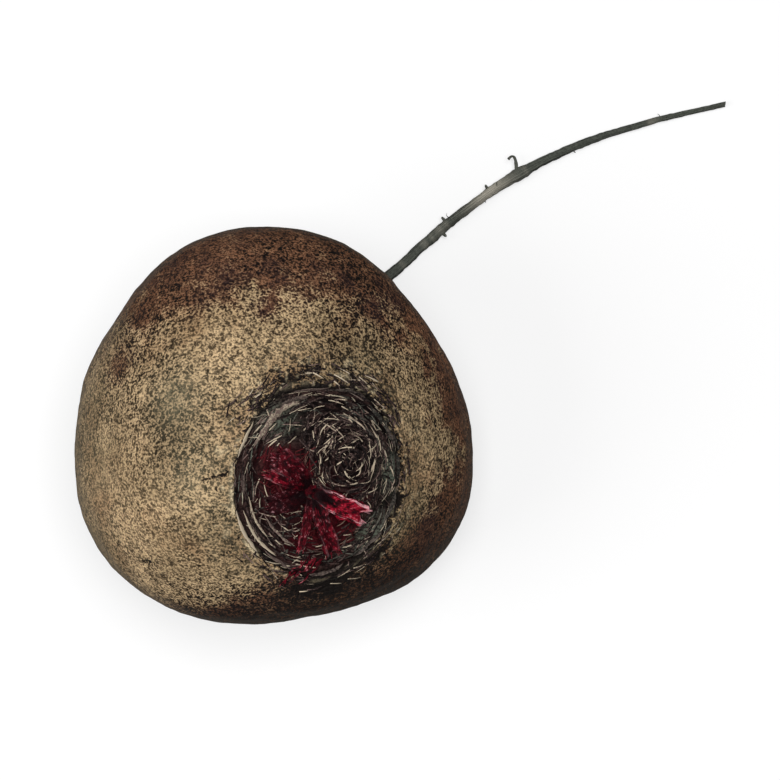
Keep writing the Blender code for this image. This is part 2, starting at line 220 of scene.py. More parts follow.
def photo_pixel(points):
    """Where points appear in the photograph: their offsets across and up, over their depth."""
    offset = points - CAMERA_AT
    scale = DISTANCE / PIXEL / -(offset @ BACK)
    across = ROOT_MIDDLE_PIXEL[0] + (offset @ RIGHT) * scale
    return np.stack([across, ROOT_MIDDLE_PIXEL[1] - (offset @ UP) * scale], -1)


def stand_at(name, data, place, back, side):
    """An object for a camera or a lamp at a place: it looks away from back, with an axis to its side."""
    thing = bpy.data.objects.new(name, data)
    bpy.context.scene.collection.objects.link(thing)
    side = unit(side)
    pose = np.eye(4)
    pose[:3] = np.stack([side, np.cross(back, side), back, place], -1)
    thing.matrix_world = Matrix(pose)
    return thing


def make_camera():
    """Turns the camera from the root's middle to the view's centre, with a lens for the view's width."""
    lens = bpy.data.cameras.new("camera")
    step = (np.array(VIEW_CENTRE_PIXEL) - ROOT_MIDDLE_PIXEL) * PIXEL
    back = unit(CAMERA_AT - (ROOT_MIDDLE + RIGHT * step[0] - UP * step[1]))
    lens.sensor_width = SENSOR_WIDTH
    lens.lens = SENSOR_WIDTH * DISTANCE / (VIEW_PIXELS * PIXEL)
    lens.clip_start, lens.clip_end = 0.01, 10.0
    bpy.context.scene.camera = stand_at("camera", lens, CAMERA_AT, back, np.cross(UP, back))
    return lens


print(f"lens {make_camera().lens:.0f} mm, {DISTANCE / MM:.0f} mm from the root's middle")

# %% [markdown]
# Natural surfaces are uneven at several scales. Smooth noise does that: each corner of a cubic lattice has
# a random value, and a point between corners has a blend of the eight round it. The lattice's cell sets the
# bumps' size. Noise on a tube goes round it without a seam, because it is read on a circle.


# %% Noise
def noise(points, cell, seed):
    """Smooth noise from -1 to 1: hashed values at a lattice's corners, blended across each cell."""
    grid = np.asarray(points) / cell + seed * 17.137
    base = np.floor(grid).astype(np.int64)
    ease = grid - base
    ease = ease * ease * (3 - 2 * ease)
    total = np.zeros(base.shape[:-1])
    for corner in np.ndindex(2, 2, 2):
        key = ((base + corner) * np.array([73856093, 19349663, 83492791])).sum(-1)
        key = ((key ^ (key >> 13)) * 1274126177) & 0x7FFFFFFF
        value = ((key ^ (key >> 15)) % 65536) / 32767.5 - 1
        total += value * np.where(corner, ease, 1 - ease).prod(-1)
    return total


def layered(points, cell, seed, layers=3):
    """Noise with finer and weaker noise on top: each layer has half the cell and half the height."""
    return sum(noise(points, cell / 2**k, seed + k) / 2**k for k in range(layers))


def flat_points(x, y=0.0):
    """Points in a plane for noise across a surface, or on a line where x is all there is."""
    return np.stack(np.broadcast_arrays(x, y, 0.0), -1)


def tube_points(length, angle, size):
    """Points on a tube for noise round it: a length, and a circle of the given size."""
    return np.stack([length, np.cos(angle) * size, np.sin(angle) * size], -1)


print("noise at three points:", noise(np.eye(3), 0.7, 1).round(2))

# %% [markdown]
# A piece is a mesh made from arrays: points, the corners of its faces, and a few values for each point that
# its material reads. Every piece rides on the root.


# %% Making pieces
def tint(red, green, blue):
    """A display colour of 0 to 255 a channel as linear light, with alpha."""
    c = np.array([red, green, blue]) / 255
    return (*np.where(c < 0.04045, c / 12.92, ((c + 0.055) / 1.055) ** 2.4), 1.0)


def grid_quads(rows, columns):
    """Corners of the quads between neighbouring rings, with the last column joined to the first."""
    r = np.arange(rows - 1)[:, None] * columns
    c = np.arange(columns)[None]
    n = (c + 1) % columns
    return np.stack([r + c, r + n, r + n + columns, r + c + columns], -1).reshape(-1, 4)


def new_piece(name, points, quads, triangles, node_slot, material, **values):
    """A mesh piece with a value for each point under each name, turned outwards, that rides on the root."""
    points = np.asarray(points, np.float32).reshape(-1, 3)
    fans = np.concatenate([quads[:, [0, 1, 2]], quads[:, [0, 2, 3]], triangles])
    a, b, c = (points[fans[:, k]].astype(float) for k in range(3))
    if np.einsum("ij,ij->i", a, np.cross(b, c)).sum() < 0:
        quads, triangles = quads[:, ::-1], triangles[:, ::-1]
    mesh = bpy.data.meshes.new(name)
    mesh.vertices.add(len(points))
    mesh.vertices.foreach_set("co", points.ravel())
    corners = np.concatenate([quads.ravel(), triangles.ravel()])
    sizes = np.repeat([4, 3], [len(quads), len(triangles)])
    mesh.loops.add(len(corners))
    mesh.loops.foreach_set("vertex_index", corners)
    mesh.polygons.add(len(sizes))
    mesh.polygons.foreach_set("loop_start", np.cumsum(sizes) - sizes)
    mesh.update(calc_edges=True)
    for key, value in values.items():
        layer = mesh.attributes.new(key, "FLOAT", "POINT")
        layer.data.foreach_set("value", np.asarray(value, np.float32).ravel())
    mesh.shade_smooth()
    mesh.materials.append(material)
    piece = bpy.data.objects.new(name, mesh)
    bpy.context.scene.collection.objects.link(piece)
    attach(piece, "root")
    print(f"{name}: {len(fans)} triangles")
    return piece


def closed_rows(points, *values):
    """Quads of a grid of rings, a fan over each end, and the points and values with the fans' middles."""
    rows, columns = points.shape[:2]
    count = rows * columns
    c = np.arange(columns)
    n = (c + 1) % columns
    last = (rows - 1) * columns
    near = np.stack([n, c, np.full(columns, count)], -1)
    far = np.stack([last + c, last + n, np.full(columns, count + 1)], -1)
    flat = np.concatenate([points.reshape(-1, 3), points[[0, -1]].mean(axis=1)])
    grown = [np.concatenate([v.ravel(), v[[0, -1]].mean(axis=1)]) for v in values]
    return flat, grid_quads(rows, columns), np.concatenate([near, far]), grown


print("ready to make pieces")

# %% [markdown]
# Materials share three effects, each a node group that is built once: a speckle of fine light and dark
# grain, tone patches with ragged edges, and fibre streaks that follow a piece's own length. The groups put
# out masks and heights. Each material holds its own colours and its own shader.


# %% Shader node helpers
def wire(tree, kind, inputs=None, **settings):
    """Adds a node. inputs maps a socket's name or number to a value, or to another node's output."""
    node = tree.nodes.new(kind)
    for key, value in settings.items():
        setattr(node, key, value)
    for key, value in (inputs or {}).items():
        if isinstance(value, bpy.types.NodeSocket):
            tree.links.new(value, node.inputs[key])
        else:
            node.inputs[key].default_value = value
    return node


def point_value(tree, name):
    """A value that the piece gives for each of its points."""
    return wire(tree, "ShaderNodeAttribute", attribute_name=name).outputs["Fac"]


def contrast(tree, value, low, high):
    """Stretches a value so that low becomes 0 and high becomes 1, with a smooth S between."""
    inputs = {"Value": value, "From Min": low, "From Max": high}
    return wire(tree, "ShaderNodeMapRange", inputs, interpolation_type="SMOOTHSTEP").outputs[0]


def maths(tree, operation, *values, clamp=True):
    """A calculation with up to three values, kept within 0 and 1 unless clamp is off."""
    node = wire(tree, "ShaderNodeMath", dict(enumerate(values)), operation=operation, use_clamp=clamp)
    return node.outputs[0]


def scaled(tree, value, by, plus=None):
    """A value times another, plus a third where it is given, within 0 and 1."""
    if plus is None:
        return maths(tree, "MULTIPLY", value, by)
    return maths(tree, "MULTIPLY_ADD", value, by, plus)


def blend(tree, share, first, second, kind="MIX"):
    """The first colour with a share of the second over it: sockets 0, 6 and 7 of a colour mix."""
    inputs = {0: share, 6: first, 7: second}
    return wire(tree, "ShaderNodeMix", inputs, data_type="RGBA", blend_type=kind).outputs[2]


def new_group(name, inputs, outputs):
    """An empty node group with number sockets, the sockets that it is given, and its output node."""
    group = bpy.data.node_groups.new(name, "ShaderNodeTree")
    for label, value in inputs.items():
        socket = group.interface.new_socket(label, in_out="INPUT", socket_type="NodeSocketFloat")
        socket.default_value = value
    for label in outputs:
        group.interface.new_socket(label, in_out="OUTPUT", socket_type="NodeSocketFloat")
    return group, group.nodes.new("NodeGroupInput").outputs, group.nodes.new("NodeGroupOutput").inputs


def new_material(name, roughness, specular):
    """A material with its node tree and its shader, which has one roughness and one strength of gloss."""
    material = bpy.data.materials.new(name)
    material.use_nodes = True
    shader = material.node_tree.nodes["Principled BSDF"]
    shader.inputs["Roughness"].default_value = roughness
    shader.inputs["Specular IOR Level"].default_value = specular
    return material, material.node_tree, shader


def finish_material(tree, shader, colour, height=None, distance=0.0, strength=1.0):
    """Joins a colour to the shader, and a height through a bump whose depth is the distance."""
    tree.links.new(colour, shader.inputs["Base Color"])
    if height is not None:
        inputs = {"Height": height, "Distance": distance, "Strength": strength}
        tree.links.new(wire(tree, "ShaderNodeBump", inputs).outputs[0], shader.inputs["Normal"])


print("node helpers are ready")


# %% The shared effects
def make_speckle():
    """Grain and dots: noise of two sizes, less a dark dot in each cell, darker in some cells than others."""
    sockets = {"Per Metre": 1500.0, "Contrast": 0.2, "Dots": 0.0}
    group, given, result = new_group("speckle", sockets, ["Mask", "Height"])
    coords = wire(group, "ShaderNodeTexCoord").outputs["Object"]
    wider = maths(group, "MULTIPLY", given["Per Metre"], 0.36, clamp=False)
    fine = {"Vector": coords, "Scale": given["Per Metre"], "Detail": 2.0, "Roughness": 0.5}
    fine = wire(group, "ShaderNodeTexNoise", fine).outputs[0]
    coarse = {"Vector": coords, "Scale": wider, "Detail": 1.0}
    coarse = wire(group, "ShaderNodeTexNoise", coarse).outputs[0]
    most = maths(group, "MULTIPLY", fine, 0.75, clamp=False)
    both = maths(group, "MULTIPLY_ADD", coarse, 0.25, most, clamp=False)
    cells = {"Vector": coords, "Scale": wider, "Randomness": 1.0}
    cells = wire(group, "ShaderNodeTexVoronoi", cells).outputs
    dot = contrast(group, cells["Distance"], 0.38, 0.14)
    dot = maths(group, "MULTIPLY", dot, cells["Color"], clamp=False)
    dot = maths(group, "MULTIPLY", dot, given["Dots"], clamp=False)
    low, high = (maths(group, side, 0.5, given["Contrast"], clamp=False) for side in ("SUBTRACT", "ADD"))
    mask = contrast(group, both, low, high)
    group.links.new(maths(group, "SUBTRACT", mask, dot), result["Mask"])
    group.links.new(scaled(group, dot, -0.35, both), result["Height"])
    return group


def make_patches():
    """Tone patches: one noise, cut off between Low and High, so that its edges are ragged."""
    sockets = {"Per Metre": 100.0, "Low": 0.45, "High": 0.6, "Turn": 0.0}
    group, given, result = new_group("tone_patches", sockets, ["Mask"])
    coords = wire(group, "ShaderNodeTexCoord").outputs["Object"]
    cloud = {"Vector": coords, "W": given["Turn"], "Scale": given["Per Metre"], "Detail": 5.0}
    cloud = wire(group, "ShaderNodeTexNoise", {**cloud, "Roughness": 0.62}, noise_dimensions="4D")
    group.links.new(contrast(group, cloud.outputs[0], given["Low"], given["High"]), result["Mask"])
    return group


def make_streaks():
    """Streaks along a piece: noise on the length and girth values that it gives, each times its scale."""
    sockets = {"Along": 0.0, "Around": 0.0, "Length Scale": 3.0, "Girth Scale": 40.0}
    group, given, result = new_group("fibre_streaks", sockets, ["Mask", "Height"])
    length = maths(group, "MULTIPLY", given["Along"], given["Length Scale"], clamp=False)
    girth = maths(group, "MULTIPLY", given["Around"], given["Girth Scale"], clamp=False)
    place = wire(group, "ShaderNodeCombineXYZ", {"X": length, "Y": girth}).outputs[0]
    grain = {"Vector": place, "Scale": 1.0, "Detail": 4.0, "Roughness": 0.6}
    grain = wire(group, "ShaderNodeTexNoise", grain).outputs[0]
    group.links.new(contrast(group, grain, 0.35, 0.65), result["Mask"])
    group.links.new(grain, result["Height"])
    return group


SPECKLE = make_speckle()
PATCHES = make_patches()
STREAKS = make_streaks()


def speckle(tree, per_metre, contrast, dots=0.0):
    """The speckle's mask and height at a fineness."""
    inputs = {"Per Metre": per_metre, "Contrast": contrast, "Dots": dots}
    return wire(tree, "ShaderNodeGroup", inputs, node_tree=SPECKLE).outputs


def patches(tree, per_metre, low, high, turn):
    """The patches' mask at a fineness. Each turn gives other patches."""
    inputs = {"Per Metre": per_metre, "Low": low, "High": high, "Turn": turn}
    return wire(tree, "ShaderNodeGroup", inputs, node_tree=PATCHES).outputs[0]


def streaks(tree, length_scale, girth_scale):
    """The streaks' mask and height on the piece's own along and around values."""
    inputs = {"Length Scale": length_scale, "Girth Scale": girth_scale}
    inputs.update({"Along": point_value(tree, "along"), "Around": point_value(tree, "around")})
    return wire(tree, "ShaderNodeGroup", inputs, node_tree=STREAKS).outputs


print("node groups:", [g.name for g in bpy.data.node_groups])

# %% [markdown]
# The skin is dull and scurfy: pale khaki grain and dark dots on tan, a red-brown cap on one side, grey-green
# tints near the crown, and a few dark marks. Painted shade darkens the rim's hollow, the wrinkles, the
# creases and the lower edge, a few spots carry painted light, and a painted grey sheen, partly dust, lies at
# the edges.
# The large tints follow the form, so they are worked out for each point of the mesh. The grain is far finer
# than the mesh, so it comes from the speckle group, in colour and in bump alike.

# %% The skin's material
TAN_LIGHT = tint(222, 191, 148)
TAN_DARK = tint(40, 27, 13)
BROWN_LIGHT = tint(143, 100, 73)
BROWN_DARK = tint(13, 8, 5)
PURPLE_BROWN = tint(52, 32, 32)
WARM = tint(176, 132, 104)
ASH_GREEN = tint(112, 108, 86)
# Dust with painted sheen, laid on where the skin turns away from the camera
GREY_DUST_AND_SHEEN = tint(124, 118, 108)
# Painted shade for hollows, creases and the lower edge, and the colour of the real dark spots
SHADE_AND_SOOT = tint(22, 16, 13)
SKIN_PINK = tint(158, 74, 70)
TORN_EDGE = tint(226, 208, 170)


def skin_base(tree, grain):
    """Tan and brown skin, each between two tones that grain, mottling, scurf and broad tones share out."""
    mottle = patches(tree, 260.0, 0.34, 0.66, 1.0)
    lightness = scaled(tree, mottle, 0.17, scaled(tree, grain, 0.83))
    lightness = scaled(tree, patches(tree, 620.0, 0.53, 0.63, 6.0), -0.30, lightness)
    # The tone value holds painted light in a few spots and painted shade along the lower edge
    lightness = scaled(tree, point_value(tree, "tone"), 0.22, lightness)
    cloud, warmth = patches(tree, 75.0, 0.36, 0.66, 3.0), patches(tree, 60.0, 0.44, 0.70, 8.0)
    tan = blend(tree, lightness, TAN_DARK, TAN_LIGHT)
    tan = blend(tree, scaled(tree, cloud, 0.42), tan, ASH_GREEN, "MULTIPLY")
    tan = blend(tree, scaled(tree, warmth, 0.6), tan, WARM, "MULTIPLY")
    blotch = patches(tree, 110.0, 0.42, 0.66, 5.0)
    brown = blend(tree, lightness, BROWN_DARK, BROWN_LIGHT)
    brown = blend(tree, scaled(tree, blotch, 0.55), brown, PURPLE_BROWN)
    flecks = scaled(tree, grain, scaled(tree, mottle, 0.7, 0.3))
    broken = scaled(tree, flecks, -0.62, point_value(tree, "brown"))
    return blend(tree, contrast(tree, broken, 0.0, 0.60), tan, brown)


def make_skin():
    """Tints over the base, each a mix that the piece's own values steer and the grain breaks up."""
    material, tree, shader = new_material("beet_skin", 0.72, 0.15)
    outputs = speckle(tree, 2600.0, 0.11, 1.25)
    grain = outputs["Mask"]
    colour = skin_base(tree, grain)
    ash, pink, shade_and_soot, pale = (point_value(tree, name) for name in ("ash", "pink", "shade_and_soot", "pale"))
    facing = wire(tree, "ShaderNodeLayerWeight", {"Blend": 0.5}).outputs["Facing"]
    layers = (
        (scaled(tree, ash, scaled(tree, grain, -0.35, 0.75)), ASH_GREEN),
        (scaled(tree, pink, grain), SKIN_PINK),
        # Painted shade in the rim's hollow, wrinkles, creases and lower edge, and the real dark spots
        (contrast(tree, scaled(tree, grain, -0.45, shade_and_soot), 0.0, 0.55), SHADE_AND_SOOT),
        (scaled(tree, pale, scaled(tree, grain, 0.5, 0.5)), TORN_EDGE),
        # Painted sheen, partly dust: grey where the skin turns away from the camera
        (scaled(tree, contrast(tree, facing, 0.60, 0.98), 0.42), GREY_DUST_AND_SHEEN),
    )
    for share, tone in layers:
        colour = blend(tree, share, colour, tone)
    tree.links.new(scaled(tree, grain, 0.2, 0.62), shader.inputs["Roughness"])
    finish_material(tree, shader, colour, outputs["Height"], 1.1 * MM, 0.9)
    return material


SKIN = make_skin()
print("made", SKIN.name)

# %% [markdown]
# The skin's mesh is the root's function on a fine grid, about half a millimetre a step, with its stations
# closer together at the crown's rim. Relief is then pushed out along the normals: soft dents, scurf, ridges
# round the shoulder, creases that run from the rim, and folds where the tap root begins.

# %% The skin's grid
AROUND = 448
CROWN_RADII = (0.8, 4.0, 8.0, 11.0, 12.6, 13.4)  # mm, inside the rim, where the bed hides the skin


def skin_stations():
    """Distances along the axis, radii and thetas of the rings: by radius at the crown, then even steps."""
    fine = np.linspace(0.0, math.pi / 2, 4000)
    radii = np.concatenate([CROWN_RADII, np.linspace(13.8, 23.0, 44)]) * MM
    crown = np.interp(radii, globe(fine)[1], fine)
    theta = np.concatenate([crown, np.linspace(crown[-1], 0.975 * math.pi, 150)[1:]])
    s, radius = globe(theta)
    tail = np.linspace(LENGTH + 0.4 * MM, BODY_END, 16)
    s = np.concatenate([s, tail])
    radius = np.concatenate([radius, np.zeros(len(tail))])
    theta = np.concatenate([theta, np.full(len(tail), math.pi)])
    nub = np.where(s > 0.7 * LENGTH, tap_radius(s), 0.0)
    return s, (radius**3 + nub**3) ** (1 / 3), theta


def ring_normals(points):
    """Outward normals of a grid of rings: along one way crossed with along the other."""
    around = np.roll(points, -1, axis=1) - np.roll(points, 1, axis=1)
    normal = unit(np.cross(np.gradient(points, axis=0), around))
    middle = points.mean(axis=1, keepdims=True)
    return normal if ((points - middle) * normal).sum(-1).mean() > 0 else -normal


PHI = np.arange(AROUND) * 2 * math.pi / AROUND
S, R, T = (np.repeat(v[:, None], AROUND, axis=1) for v in skin_stations())
PHI = np.repeat(PHI[None], len(S), axis=0)
BASE = root_surface(S, R, T, PHI)
NORMAL = ring_normals(BASE)
SEEN = photo_pixel(BASE)
SHARE = R / rim_radius(PHI)
CROWN_SIDE = S < 0.4 * LENGTH
print("skin grid", BASE.shape[:2])

# %% [markdown]
# Marks such as spots and creases are placed by the pixel at which the photograph shows them. The nearest
# grid point that faces the camera gives the place on the skin, and the distance from it, in space, shapes
# the mark.


# %% Marks on the skin
def skin_point(pixel):
    """The point of the skin seen at a pixel: of those that face the camera, the nearest in the picture."""
    gap = np.hypot(SEEN[..., 0] - pixel[0], SEEN[..., 1] - pixel[1])
    gap = np.where((NORMAL @ BACK > 0.05) & (S < LENGTH), gap, 1e9)
    return BASE.reshape(-1, 3)[gap.argmin()]


def spot(pixel, size):
    """1 at the point seen at the pixel and fading over a size in metres."""
    return bump(np.linalg.norm(BASE - skin_point(pixel), axis=-1), 0.0, size)


def spots(table):
    """Several spots added up. Each row has a pixel, a size in mm and a strength."""
    return sum(strength * spot(pixel, size * MM) for pixel, size, strength in table)


def stroke(pixels, width, wander=0.0, seed=0):
    """1 along a line through the points seen at the pixels, fading over a width: the nearest of its steps."""
    ends = np.array([skin_point(p) for p in pixels])
    t = np.linspace(0, len(ends) - 1, 14 * (len(ends) - 1))
    line = between(t, np.arange(len(ends)), ends)
    shaken = BASE + wander * np.stack([noise(BASE, 2.5 * MM, seed + k) for k in range(3)], -1)
    near = np.min([((shaken - p) ** 2).sum(-1) for p in line], axis=0)
    return np.exp(-near / width**2)


# Creases: pixels that one runs through, then its width and depth in mm
CREASES = (
    (((247, 318.6), (251, 318.0), (256, 316.3), (259.5, 313.4)), 0.42, 0.40),
    (((252, 323), (262, 320)), 0.35, 0.22),
    (((288, 350), (285, 356), (280, 361)), 0.40, 0.35),
    (((292, 352.5), (287, 357.5), (284, 363)), 0.35, 0.22),
    (((301, 352), (303, 360)), 0.35, 0.22),
    (((316, 344), (323, 351)), 0.35, 0.22),
    (((330, 316), (338, 313)), 0.35, 0.20),
    (((262, 342), (256, 349)), 0.35, 0.20),
    (((310, 296), (314, 286)), 0.35, 0.18),
    (((283, 292), (279, 283)), 0.35, 0.18),
)
CREASE_LINES = [stroke(pixels, width * MM, 0.3 * MM, 5 + k) for k, (pixels, width, _) in enumerate(CREASES)]
LENS_SCAR = stroke(((307, 276), (311, 282)), 0.8 * MM, 0.2 * MM, 31)
LENS_LIP = stroke(((305, 277), (309, 284)), 0.5 * MM, 0.2 * MM, 32)
DARK_SPOTS = spot((213, 344), 0.8 * MM) + stroke(((222.5, 352), (226.5, 352.5)), 0.6 * MM)
DARK_SPOTS += spot((341, 297), 0.5 * MM)
print(len(CREASES), "creases, a lens-shaped scar with a lip, and 3 dark spots")

# %% [markdown]
# The relief is small, 0.8 mm in the deepest grooves, but low light finds it. Each part of it has its own
# place: wrinkles stay round the crown, folds stay near the tap root, and the spot that the root rests on is
# flat.


# %% The skin's relief
def rim_folds():
    """Wrinkles round the crown: 1 in thin grooves, where noise that is long round the rim passes zero."""
    wavy = R + 0.7 * MM * noise(BASE, 3.5 * MM, 12)
    lines = bump(layered(tube_points(wavy / (0.95 * MM), PHI, 3.0), 1.0, 11, 2), 0.0, 0.16)
    return lines * smoothstep(-0.5, 0.3, noise(BASE, 2.2 * MM, 14))


def skin_relief():
    """How far the skin stands out of the plain form, in metres: a sum of noises and marks."""
    near_rim = bump(SHARE, 1.10, 0.20) * CROWN_SIDE
    inside = CROWN_SIDE * (1 - smoothstep(0.90, 1.0, SHARE))
    below = smoothstep(0.86 * LENGTH, 1.02 * LENGTH, S)
    calm = 1 - smoothstep(0.95 * LENGTH, 1.08 * LENGTH, S)
    relief = 0.30 * MM * layered(BASE, 13 * MM, 1) * calm
    relief += 0.085 * MM * layered(BASE, 4.2 * MM, 4) * calm
    relief += 0.050 * MM * layered(BASE, 1.5 * MM, 7, 2) * (0.35 + 0.65 * calm)
    relief -= near_rim * 0.30 * MM * RIM_FOLDS
    relief += 0.035 * MM * noise(tube_points(S / (1.3 * MM), PHI, 2.2), 1.0, 15) * calm
    folds = layered(tube_points(S / (9 * MM), PHI, 4.5), 1.0, 19, 2)
    relief += below * folds * np.clip(R * 0.06, 0.03 * MM, 0.4 * MM)
    for line, (_pixels, _width, depth) in zip(CREASE_LINES, CREASES):
        relief -= line * (depth * MM)
    relief += 0.25 * MM * LENS_LIP - 0.35 * MM * LENS_SCAR - 0.15 * MM * np.clip(DARK_SPOTS, 0, 1)
    rest = smoothstep(0.4 * MM, 3.0 * MM, BASE[..., 2])
    return relief * (1 - 0.6 * inside) * rest


RIM_FOLDS = rim_folds()
RELIEF = skin_relief()
SKIN_POINTS = BASE + NORMAL * RELIEF[..., None]
SKIN_POINTS[..., 2] = np.maximum(SKIN_POINTS[..., 2], 0.0)
print(f"relief from {RELIEF.min() / MM:.2f} to {RELIEF.max() / MM:.2f} mm")

# %% [markdown]
# The tints are masks. Their edges are where the photograph shows them, made ragged by noise. What the
# camera can't see, on the sides and underneath, goes on from what it sees at the edge, with wider noise.

# %% The skin's tints
# Spots: a pixel, a size in mm and a strength
BROWN_SPOTS = (((212, 275), 4.5, 0.75), ((222, 256), 5, 0.35))
DULL_SPOTS = (((236, 286), 5.5, 0.8), ((240, 316), 5, 0.5))
# Painted light: spots where the tone is raised as if lit
PAINTED_LIGHT_SPOTS = (((246, 264), 8, 0.8), ((230, 348), 9, 0.8), ((333, 312), 6, 0.9))
DIM_SPOTS = (((306, 237), 5, 1.0), ((277, 228), 5, 0.6), ((232, 300), 5, 0.8), ((256, 330), 4, 0.7))
ACROSS = (BASE - ROOT_MIDDLE) @ RIGHT / MM
ABOVE = (BASE - ROOT_MIDDLE) @ UP / MM
HIDDEN = smoothstep(0.25, -0.40, NORMAL @ BACK)
RAGGED = layered(BASE, 9 * MM, 40) * 3.4 + layered(BASE, 2.6 * MM, 44) * 1.6
# Painted shade along the lower edge: it lowers the tone and adds the dark layer
LOWER_EDGE_SHADE = smoothstep(-20, -32, ABOVE - 0.25 * ACROSS + 0.7 * RAGGED)
# 1 at the shoulder round the crown, and 0 further out
SHOULDER = CROWN_SIDE * smoothstep(1.45, 1.02, SHARE + 0.12 * layered(BASE, 2.0 * MM, 55))


def brown_mask():
    """The red-brown cap, the tongue that runs down from it, and the brown right and lower edges."""
    edge = RAGGED + HIDDEN * layered(BASE, 21 * MM, 48) * 11
    cap = smoothstep(-10.5, 8.5, ABOVE - 25.5 + 0.010 * ACROSS**2 + 1.2 * edge)
    tongue = stroke(((271, 240), (273.5, 253)), 1.6 * MM, 2 * MM, 47)
    side = smoothstep(21, 29, ACROSS + 1.5 * edge - 5 * bump(ABOVE, -4, 6))
    low = smoothstep(-21, -30, ABOVE + edge * 0.6 - 0.30 * ACROSS)
    return np.clip(cap + 0.6 * tongue + spots(BROWN_SPOTS) + side + low, 0, 1)


def ash_mask():
    """Grey-green near the crown, in two dull spots and down the left edge."""
    near = CROWN_SIDE * smoothstep(1.65, 1.02, SHARE + 0.13 * layered(BASE, 3.2 * MM, 51))
    return np.clip(0.32 * near + spots(DULL_SPOTS) + 0.35 * smoothstep(-24, -34, ACROSS), 0, 1)


def shade_and_soot_mask(pink):
    """Painted shade in the rim's hollow, its wrinkles, the creases and along the lower edge, with the real
    dark spots and scar; darker towards the tap root; less where pink.
    """
    hollow = CROWN_SIDE * smoothstep(1.05, 0.95, SHARE + 0.05 * layered(BASE, 1.6 * MM, 53))
    marks = 0.62 * sum(CREASE_LINES) + 0.28 * CREASE_LINES[0] + 0.8 * DARK_SPOTS + 0.5 * LENS_SCAR
    upward = np.cos(PHI - math.radians(95))
    rough = 0.15 + 0.85 * smoothstep(0.45, 0.9, np.maximum(upward, -0.8 * upward))
    lower = smoothstep(0.80 * LENGTH, 1.15 * LENGTH, S)
    # Painted shade along the lower edge, weaker where the camera can't see
    shade = 0.66 * LOWER_EDGE_SHADE * (1 - 0.55 * HIDDEN)
    wrinkles = (0.55 * SHOULDER**1.4 + 0.8 * (SHOULDER * RIM_FOLDS)) * rough
    return np.clip(hollow + wrinkles + marks + 0.75 * lower + shade - 0.5 * pink, 0, 1)


def pale_mask():
    """The torn edge of the skin along the rim, mostly on the left, and the crests of the wrinkles."""
    torn = bump(SHARE, 1.045, 0.022) * CROWN_SIDE
    leftward = smoothstep(0.1, 0.9, np.cos(PHI - math.radians(190)))
    broken = smoothstep(-0.2, 0.4, layered(BASE, 3 * MM, 58))
    crests = SHOULDER * smoothstep(0.35, 0.8, noise(BASE, 0.9 * MM, 59)) * 0.6
    crests = crests * (1 - smoothstep(-18, -24, ABOVE))
    return np.clip(torn * (0.15 + 0.75 * leftward) * broken + 0.5 * LENS_LIP + crests, 0, 1)


def skin_tints():
    """Masks from 0 to 1 for each tint, and a broad tone from -1, darker, to 1, lighter, which holds
    painted light in a few spots and painted shade along the lower edge.
    """
    pink = 1.3 * CREASE_LINES[2] + CREASE_LINES[3] + 0.5 * spot((283, 356), 2.2 * MM)
    pink = np.clip(pink, 0, 1)
    tone = 0.7 * layered(BASE, 15 * MM, 62) + spots(PAINTED_LIGHT_SPOTS) - spots(DIM_SPOTS) - 1.4 * LOWER_EDGE_SHADE
    masks = {"brown": brown_mask(), "ash": ash_mask(), "shade_and_soot": shade_and_soot_mask(pink), "pale": pale_mask()}
    return {**masks, "pink": pink, "tone": np.clip(tone, -1, 1)}


TINTS = skin_tints()
flat, quads, fans, grown = closed_rows(SKIN_POINTS, *TINTS.values())
skin = new_piece("beet_skin", flat, quads, fans, "skin", SKIN, **dict(zip(TINTS, grown)))
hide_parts("root")

# %% [markdown]
# The tap root has a thin, dry bark: dark grey with a green cast, wrinkled along its length, and worn pale
# in one stretch. It is a tube with its own fine grid, 0.25 mm a step, that starts inside the swollen root.

# %% The bark's material
BARK_DARK = tint(26, 28, 25)
BARK_LIGHT = tint(90, 94, 85)
BARK_WORN = tint(176, 170, 156)


def make_bark():
    """Streaks of two greys, with the worn stretch and the brown start mixed in by the piece's own values."""
    material, tree, shader = new_material("tap_root_bark", 0.7, 0.3)
    streak = streaks(tree, 60.0, 7.0)
    grain = speckle(tree, 2600.0, 0.2)["Mask"]
    share = scaled(tree, streak["Mask"], 0.6, scaled(tree, grain, 0.4))
    worn = scaled(tree, point_value(tree, "worn"), scaled(tree, streak["Mask"], 0.6, 0.4))
    colour = blend(tree, share, BARK_DARK, BARK_LIGHT)
    colour = blend(tree, worn, colour, BARK_WORN)
    colour = blend(tree, point_value(tree, "start"), colour, blend(tree, share, BROWN_DARK, BROWN_LIGHT))
    finish_material(tree, shader, colour, streak["Height"], 0.35 * MM, 0.8)
    return material


BARK = make_bark()
print("made", BARK.name)

# %% The tap root
BARK_ROWS, BARK_COLUMNS = 400, 36


